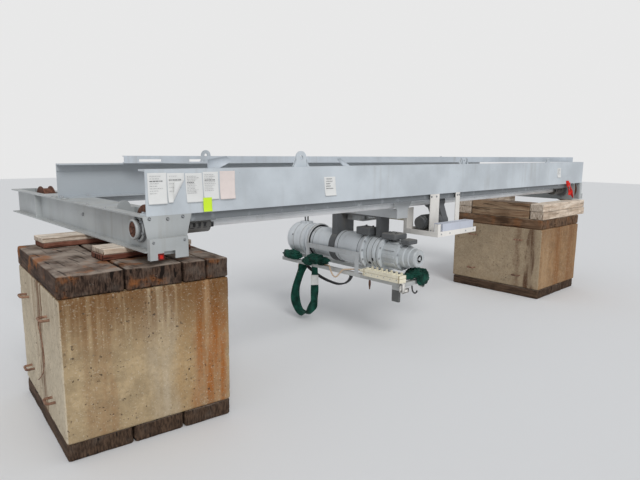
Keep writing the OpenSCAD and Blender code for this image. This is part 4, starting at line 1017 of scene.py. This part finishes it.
def truck_details():
    """Bolts and clips that the photograph shows on the end trucks, most of them the same at both ends."""
    bolts, clips = Batch(), Batch()
    for side in (0, 1):
        def px(x):
            """The place along the girders, measured from this side's end."""
            return GIRDER_LENGTH - x if side else x

        for y in (0.05, 0.10, 1.93, 1.99):
            for x in (0.02, 0.29):
                hexbolt(bolts, at(px(x), y, GIRDER_Z + (0.014 if y < 0.12 or y > 1.9 else 0)), (0, 0, 1), 0.011, 0.010)
        for y in (1.86, 2.04):
            x0, x1 = sorted((px(-0.012), px(0.05)))
            clips.add(*plate(at(x0, y - 0.02, GIRDER_Z + 0.0005), at(x1, y + 0.02, GIRDER_Z + 0.0125), 0.002))
        out = np.array([1.0 if side else -1.0, 0, 0])
        hexbolt(bolts, at(px(0.055), 1.48, AXLE_Z), out, 0.012, 0.012)
        for y in (0.80, 1.2, 2.2, 2.6):
            hexbolt(bolts, at(px(0.0), y, GIRDER_Z), (0, 0, 1), 0.009, 0.008)
    for x, z in ((0.17, -0.03), (0.02, -0.02), (0.30, -0.02)):
        hexbolt(bolts, at(x, 0.0002, GIRDER_Z + z), (0, -1, 0), 0.009, 0.009)
    for x in (0.03, 0.29):
        hexbolt(bolts, at(x, -0.036, TRUCK_Z + 0.08), (0, -1, 0), 0.007, 0.006)
    bolts.make("truck_bolts", BOLT)
    clips.make("girder_clips", MATS["truck_paint"])


def slab(corners, thick):
    """A flat plate through the corners, moved along its own normal by its thickness."""
    c = np.array(corners, float)
    normal = np.cross(c[1] - c[0], c[2] - c[0])
    return closed_tube(np.stack([c, c + normal / np.linalg.norm(normal) * thick]))


def lug_feet_and_stays():
    """Slanted feet beside the lifting lugs and the two stay plates that stand on the near girder."""
    feet, stays = Batch(), Batch()
    for xs, y in (((1.565, 4.3, 6.65), 0.040), ((1.70, 6.54), 1.95 - 0.026)):
        for x in xs:
            for way in (-1, 1):
                half = 0.062 if x in (1.565, 4.3, 1.70) else 0.031
                quad = [at(x + way * half, y, TOP), at(x + way * (half + 0.042), y, TOP),
                        at(x + way * (half + 0.034), y, TOP + 0.010), at(x + way * half, y, TOP + 0.075 * half / 0.062)]
                feet.add(*slab(quad, 0.016 * (-1 if way > 0 else 1)))
    feet.make("lug_feet", MATS["girder_paint"])
    for shape in (((0.569, 0.0), (0.677, 0.0), (0.808, 0.057), (0.749, 0.099), (0.568, 0.070)),
                  ((2.137, 0.0), (2.239, 0.0), (2.093, 0.076), (2.044, 0.072))):
        stays.add(*slab([at(x, 0.06, TOP + z) for x, z in shape], 0.006))
    stays.make("stay_plates", MATS["channel_paint"])


lug_feet_and_stays()


def red_marks():
    """Red tape folded over the sweep plate's lower edge and a red ribbon tied at the right end."""
    tape = Batch()
    tape.add(*plate(at(0.062, -0.0395, TRUCK_Z - 0.056), at(0.112, -0.0362, TRUCK_Z - 0.006), 0.0006))
    n, m = 30, 9
    u, v = np.meshgrid(np.linspace(0, 1, n), np.linspace(-0.5, 0.5, m), indexing="ij")
    for x0, x1, top, low, ph in ((7.30, 7.40, 0.05, -0.19, 0.0), (7.38, 7.54, 0.02, -0.24, 1.9)):
        x = x0 + (x1 - x0) * u + v * 0.075 * (1 - 0.35 * u)
        z = GIRDER_Z + top + (low - top) * u ** 0.8
        y = -0.012 - 0.012 * np.sin(7 * u + ph + 5 * v) - 0.01 * u
        tape.add(*two_sided(np.stack([x, y, z], -1).reshape(-1, 3) + CORNER, n, m, (0, 0.0012, 0)))
    ribbon = tape.make("red_ribbon_and_tape", RED)


coupling_details()
bearing_details()
truck_details()
red_marks()


def drive_details():
    """Cooling ribs of the drive motor, bolts of its gearbox and of the platform, and the cream cross beam."""
    ribs, bolts, cream, pin = Batch(), Batch(), Batch(), Batch()
    gear_x, r, length = 3.9, 0.084, 0.33
    c = at(gear_x - length, 0.13, 0) + (0, 0, GIRDER_Z - 0.47 + 0.006 + r + 0.03)
    for a in np.linspace(0, 2 * np.pi, 30, endpoint=False):
        if math.sin(a) < -0.75:
            continue
        d = np.array([0, math.cos(a), math.sin(a)])
        t = np.array([0, -math.sin(a), math.cos(a)]) * 0.0016
        p0, p1 = c + (0.03, 0, 0) + d * (r - 0.004), c + (length - 0.05, 0, 0) + d * (r - 0.004)
        ring0 = np.array([p0 - t, p0 + t, p0 + t * 0.6 + d * 0.014, p0 - t * 0.6 + d * 0.014])
        ribs.add(*closed_tube(np.stack([ring0, ring0 + (p1 - p0)])))
    ribs.make("drive_motor_ribs", MATS["motor_paint"])
    for a in np.arange(6) * np.pi / 3:
        out = np.array([0, math.cos(a), math.sin(a)])
        hexbolt(bolts, at(gear_x + 0.11, SHAFT_Y, AXLE_Z) + out * 0.08, (1, 0, 0), 0.008, 0.008)
        hexbolt(bolts, at(gear_x, SHAFT_Y, AXLE_Z) + out * 0.085, (-1, 0, 0), 0.007, 0.007)
    for x in (3.58, 3.68, 4.12, 4.16):
        for z in (GIRDER_Z - 0.03, GIRDER_Z - 0.44):
            hexbolt(bolts, at(x, 0, z), (0, -1, 0), 0.008, 0.008)
    for x in (3.45, 3.62, 3.95, 4.12):
        hexbolt(bolts, at(x, -0.25, GIRDER_Z - 0.44), (0, -1, 0), 0.006, 0.006)
    bolts.make("drive_bolts", BOLT)
    cream.add(*worn_beam(at(3.385, 0.25, GIRDER_Z - 0.325), at(3.427, 0.715, GIRDER_Z - 0.23), 1, 0.003, 351,
                         rough=0.0006, n_along=20, n_round=5))
    cream.make("cream_cross_beam", CREAM)
    hexbolt(pin, at(3.385, 0.66, GIRDER_Z - 0.28), (-1, 0, 0), 0.014, 0.016)
    hexbolt(pin, at(3.405, 0.2495, GIRDER_Z - 0.28), (0, -1, 0), 0.009, 0.010)
    pin.make("cross_beam_bolts", BOLT)


drive_details()


# Hoist details, riding with the trolley
HX, HZ = 3.2, 1.05                             # the hoist's axis, which runs along Y
MOTOR_Y = 0.296                                # where the gear case ends and the hoist's motor begins


def around(y, radius, angle):
    """A point on a circle round the hoist's axis, at the place y along it."""
    return at(HX + radius * math.sin(angle), y, HZ + radius * math.cos(angle))


def hoist_details():
    """Bolts round the hoist's rings and covers, rims, grooves, an oil plug and small holes."""
    bolts, bands, dark = Batch(), Batch(), Batch()

    def hoop(batch, y, profile, segments=72):
        """A profile turned about the hoist's axis at the place y along it."""
        batch.add(*lathe(profile, at(HX, y, HZ), (0, 1, 0), segments))

    for y, r, way, count, size in ((0.556, 0.218, -1, 12, 0.009), (1.588, 0.218, 1, 12, 0.009),
                                   (MOTOR_Y, 0.205, -1, 10, 0.008)):
        for a in np.arange(count) * 2 * np.pi / count + 0.13:
            hexbolt(bolts, around(y, r, a), (0, way, 0), size, 0.008)
    r = 0.2335
    for y in (0.592, 1.552):
        hoop(bands, y, [(-0.030, r - 0.012), (-0.030, r), (-0.026, r + 0.0035), (-0.006, r + 0.0035), (-0.003, r),
                        (-0.003, r - 0.012)])
    r = 0.2005
    for y in (0.35, 0.42, 0.50, 0.66, 1.0, 1.47):
        hoop(dark, y, [(-0.004, r - 0.004), (-0.002, r + 0.0012), (0.002, r + 0.0012), (0.004, r - 0.004)])
    r = 0.2262
    for y in (1.70, 1.84):
        hoop(bands, y, [(-0.010, r - 0.005), (-0.007, r + 0.0022), (0.007, r + 0.0022), (0.010, r - 0.005)])
    # end face of the motor's cover: a small plate ring and three bolts, then the bolts round its flange
    end_y = MOTOR_Y - 0.225 - 0.13 * 1.6
    hoop(bands, end_y - 0.005, [(0.0, 0.044), (0.0, 0.054), (0.006, 0.056), (0.006, 0.042)], 40)
    for a in (0.4, 2.5, 4.6):
        hexbolt(bolts, around(end_y, 0.032, a), (0, -1, 0), 0.008, 0.007)
    for a in np.arange(8) * np.pi / 4 + 0.2:
        hexbolt(bolts, around(0.071, 0.146, a), (0, -1, 0), 0.008, 0.010)
    # oil plug and hole in the gear case, small hole in the end cap; the holes are dark discs, painted shade
    for y, a, r in ((0.40, -1.9, 0.2), (0.47, -2.2, 0.2)):
        spot = around(y, r + 0.001, a)
        way = np.array([math.sin(a), 0, math.cos(a)])
        dark.add(*lathe([(-0.004, 0.006), (-0.001, 0.020), (0.004, 0.020), (0.004, 0.013), (0.0, 0.008)], spot, way, 28))
    spot, way = around(1.86, 0.2268, -1.25), np.array([math.sin(-1.25), 0, math.cos(-1.25)])
    dark.add(*lathe([(-0.004, 0.004), (0.0, 0.010), (0.0015, 0.010), (0.0015, 0.006)], spot, way, 20))
    bolts.make("hoist_bolts", BOLT, body=TROLLEY)
    bands.make("hoist_ring_rims", MATS["trolley_paint"], body=TROLLEY)
    dark.make("hoist_grooves", DARK, body=TROLLEY)


def hoist_top_works():
    """The dark works over the gear case, the pale hanger box over the saddle and two straps on the end cap."""
    dark, pale = Batch(), Batch()
    beam_low = GIRDER_Z - 0.27
    pale.add(*plate(at(HX + 0.01, 0.76, beam_low - 0.10), at(HX + 0.37, 1.03, beam_low - 0.004), 0.006))
    pale.add(*plate(at(HX + 0.03, 0.752, beam_low - 0.085), at(HX + 0.35, 0.76, beam_low - 0.02), 0.002))
    pale.make("hanger_box", MATS["trolley_paint"], body=TROLLEY)
    for y0, y1, x0, x1, z0, z1 in ((0.12, 0.34, -0.13, 0.10, 0.19, 0.26), (0.50, 0.72, -0.16, 0.02, 0.205, 0.30),
                                   (-0.06, 0.08, -0.09, 0.07, 0.155, 0.21)):
        dark.add(*worn_beam(at(HX + x0, y0, HZ + z0), at(HX + x1, y1, HZ + z1), 1, 0.014,
                            301 + int(100 * y0 + 50), rough=0.001, n_along=14, n_round=5))
    for y in (0.18, 0.28, 0.55, 0.66):
        hexbolt(dark, at(HX - 0.03, y, HZ + (0.26 if y < 0.4 else 0.30)), (0, 0, 1), 0.012, 0.012)
    for y in (1.745, 1.80):
        strap = spline([at(HX - 0.035, y, HZ + 0.245), at(HX - 0.03, y + 0.01, HZ + 0.31),
                        at(HX + 0.005, y + 0.015, HZ + 0.38), at(HX + 0.02, y + 0.02, HZ + 0.439)], 8)
        dark.add(*tube(strap, 0.014, 0.004, (0, 1, 0.1), 10, 0.6))
    dark.make("hoist_top_works", MATS["motor_paint"], body=TROLLEY)


hoist_details()
hoist_top_works()


def sling_tag():
    """The white sleeve stitched round the sling and the knotted string beside it."""
    path = spline(SLING[10:14], 8)[6:13]
    mesh_piece("white_sleeve", *tube(path, 0.051, 0.017, SLING_FLAT, 24, 0.6), WHITE, body=TROLLEY)
    line = mm([[2955, 1700, 739], [2950, 1702, 700], [2952, 1698, 620], [2956, 1700, 560], [2954, 1696, 520]])
    route = spline(line, 10)
    string, knot = Batch(), Batch()
    string.add(*tube(route, 0.0035, 0.0035, (1, 0.1, 0), 8))
    knot.add(*lathe([(-0.008, 0.002), (-0.005, 0.010), (0.004, 0.011), (0.009, 0.003)], line[-1] + (0, 0, 0.002), (0, 0, 1), 16))
    end = knot.make("string_knot", MATS["cord_rubber"], body=TROLLEY, slot="cord_rubber")
    obj = string.make("knotted_string", MATS["cord_rubber"], body=TROLLEY, slot="cord_rubber")


sling_tag()


def pendant_details():
    """Seven push buttons, the joint lines round the case and six case screws."""
    x0, y0, z0, wide, long = 2.96 - 0.0275, -0.08, 0.7863, 0.11, 0.57
    buttons, line, screws = Batch(), Batch(), Batch()
    for i in range(7):
        spot = at(x0 + 0.055, y0 + long * (0.1 + 0.13 * i), z0 + 0.084)
        buttons.add(*lathe([(0.0, 0.0115), (0.012, 0.0115), (0.017, 0.010), (0.0195, 0.006)], spot, (0, 0, 1), 24))
    buttons.make("pendant_buttons", DARK, body=TROLLEY)
    e = 0.0012
    line.add(*plate(at(x0 - e, y0 - e, z0 + 0.047), at(x0 + wide + e, y0 + long + e, z0 + 0.050), 0.0006))
    for y in (y0 + 0.02, y0 + 0.55):
        line.add(*plate(at(x0 - e, y - 0.004, z0 - 0.0001), at(x0 + wide + e, y + 0.004, z0 + 0.0852), 0.0006))
    line.make("pendant_joint_line", plain("worn_plastic", (0.40, 0.30, 0.15), 0.6), body=TROLLEY)
    for i in range(6):
        spot = at(x0, y0 + 0.05 + 0.094 * i, z0 + 0.03)
        screws.add(*lathe([(0, 0.006), (0.0025, 0.006), (0.004, 0.004)], spot, (-1, 0, 0), 14))
    screws.make("pendant_screws", BOLT, body=TROLLEY)


def cradle_details():
    """White clamps, a small black hook and a short pin on the hoist's cradle."""
    white, z = Batch(), CRADLE_Z
    white.add(*plate(at(2.93, -0.125, z - 0.05), at(2.975, -0.075, z + 0.052), 0.003))
    white.add(*plate(at(2.93, -0.123, z - 0.062), at(3.05, -0.112, z - 0.005), 0.003))
    white.add(*plate(at(3.30, -0.12, z - 0.045), at(3.345, -0.085, z + 0.05), 0.003))
    white.add(*plate(at(3.35, 0.4, z - 0.03), at(3.42, 0.44, z + 0.048), 0.003))
    white.make("cradle_clamps", MATS["platform_paint"], body=TROLLEY)
    hook = np.array([[3.13, -0.10, z], [3.13, -0.105, z - 0.035], [3.128, -0.115, z - 0.06], [3.135, -0.135, z - 0.082],
                     [3.145, -0.155, z - 0.072], [3.148, -0.16, z - 0.05]])
    hook = tube(spline([at(*q) for q in hook], 8), 0.0085, 0.0085, (1, 0, 0), 12)
    mesh_piece("small_hook", *hook, DARK, body=TROLLEY)
    pin = lathe([(0, 0.010), (0.03, 0.014), (0.06, 0.014), (0.12, 0.006)], at(2.985, 0.42, z), (0, 0, -1), 20)
    mesh_piece("short_pin", *pin, MATS["wheel_iron"], body=TROLLEY)


def heap(batch, centre, radii, seed, folds=7.0, depth=0.30, flat=-0.55):
    """A heap of webbing: a ball whose radius is cut by sharp folds, flattened where it lies.

    The radius is one minus depth times the folded part of several slanting waves, so that
    ridges run round it as bent straps do; everything under flat is pressed level."""
    n, m, pole = 84, 60, 0.03
    u, v = np.meshgrid(np.linspace(0, 2 * np.pi, n, endpoint=False), np.linspace(pole, np.pi - pole, m), indexing="ij")
    d = np.stack([np.cos(u) * np.sin(v), np.sin(u) * np.sin(v), np.cos(v)], -1)
    rng = np.random.default_rng(seed)
    r = np.ones_like(u)
    for k in range(5):
        w = rng.normal(size=3)
        w /= np.linalg.norm(w)
        wave = (d @ w) * folds * rng.uniform(0.5, 1.1) + rng.uniform(0, 6) + 1.2 * np.sin(3 * d @ rng.normal(size=3))
        r -= depth / 5 * (1 - np.abs(np.sin(wave))) ** 1.5 * rng.uniform(0.7, 1.6)
    p = d * r[..., None]
    p[..., 2] = np.maximum(p[..., 2], flat)
    rings = np.swapaxes(p, 0, 1) * np.asarray(radii) + np.asarray(centre)
    batch.add(*closed_tube(rings))


def webbing_heaps():
    """The sling's spare webbing, heaped at the cradle's right end, over that end, and along its left beam."""
    right, over, left = Batch(), Batch(), Batch()
    heap(right, at(3.27, -0.03, 0.855), (0.135, 0.12, 0.072), 401, 8, depth=0.45)
    heap(right, at(3.33, -0.10, 0.835), (0.075, 0.075, 0.085), 402, 7)
    heap(right, at(3.16, -0.02, 0.828), (0.09, 0.07, 0.05), 403, 7)
    heap(over, at(3.30, -0.125, 0.80), (0.115, 0.045, 0.095), 411, 7, depth=0.35, flat=-0.95)
    over.make("webbing_over_the_end", MATS["sling_fabric"], body=TROLLEY, slot="sling_fabric")
    obj = right.make("webbing_bundle", MATS["sling_fabric"], body=TROLLEY, slot="sling_fabric", replaces=("sling_bundle",))
    heap(left, at(2.96, 1.84, 0.846), (0.088, 0.21, 0.074), 404, 6.5, depth=0.52, flat=-0.8)
    heap(left, at(2.985, 1.36, 0.842), (0.086, 0.25, 0.078), 406, 7, depth=0.52, flat=-0.75)
    heap(left, at(2.94, 1.50, 0.80), (0.040, 0.12, 0.055), 409, 6, depth=0.4, flat=-0.95)
    obj = left.make("webbing_on_cradle", MATS["sling_fabric"], body=TROLLEY, slot="sling_fabric")


pendant_details()
cradle_details()
webbing_heaps()


# Floor and light
def lay_floor():
    """A level floor, wide enough for every view."""
    t = np.linspace(-40, 40, 3)
    x, y = np.meshgrid(t, t, indexing="ij")
    verts = np.stack([x, y, np.full_like(x, -0.0005)], -1).reshape(-1, 3)
    m, _, bsdf, _ = start_material("pale_floor", 0.9)
    bsdf.inputs["Base Color"].default_value = (0.78, 0.78, 0.78, 1)
    mesh = bpy.data.meshes.new("floor")
    mesh.from_pydata(verts.tolist(), [], quads(3, 3).tolist())
    mesh.materials.append(m)
    floor = bpy.data.objects.new("floor", mesh)
    bpy.context.scene.collection.objects.link(floor)


def light_scene():
    """Even light from all round for the shadows' fill, and one wide soft sun from the upper front."""
    world = bpy.data.worlds.new("sky")
    bpy.context.scene.world = world
    world.use_nodes = True
    n = Net(world.node_tree)
    back = world.node_tree.nodes["Background"]
    path = n.node("LightPath")
    seen = n.math("MAXIMUM", path.outputs["Is Camera Ray"], path.outputs["Is Transmission Ray"])
    col = n.mix(seen, (0.80, 0.82, 0.85), (0.86, 0.86, 0.86))
    world.node_tree.links.new(col, back.inputs[0])
    world.node_tree.links.new(n.math("ADD", n.math("MULTIPLY", seen, 0.28), 0.66), back.inputs[1])
    sun = bpy.data.lights.new("sun", "SUN")
    sun.energy, sun.angle = 1.35, 0.5
    lamp = bpy.data.objects.new("sun", sun)
    lamp.rotation_euler = (0.62, -0.62, 0.3)
    bpy.context.scene.collection.objects.link(lamp)


lay_floor()
light_scene()
bpy.context.scene.view_settings.view_transform = "Standard"
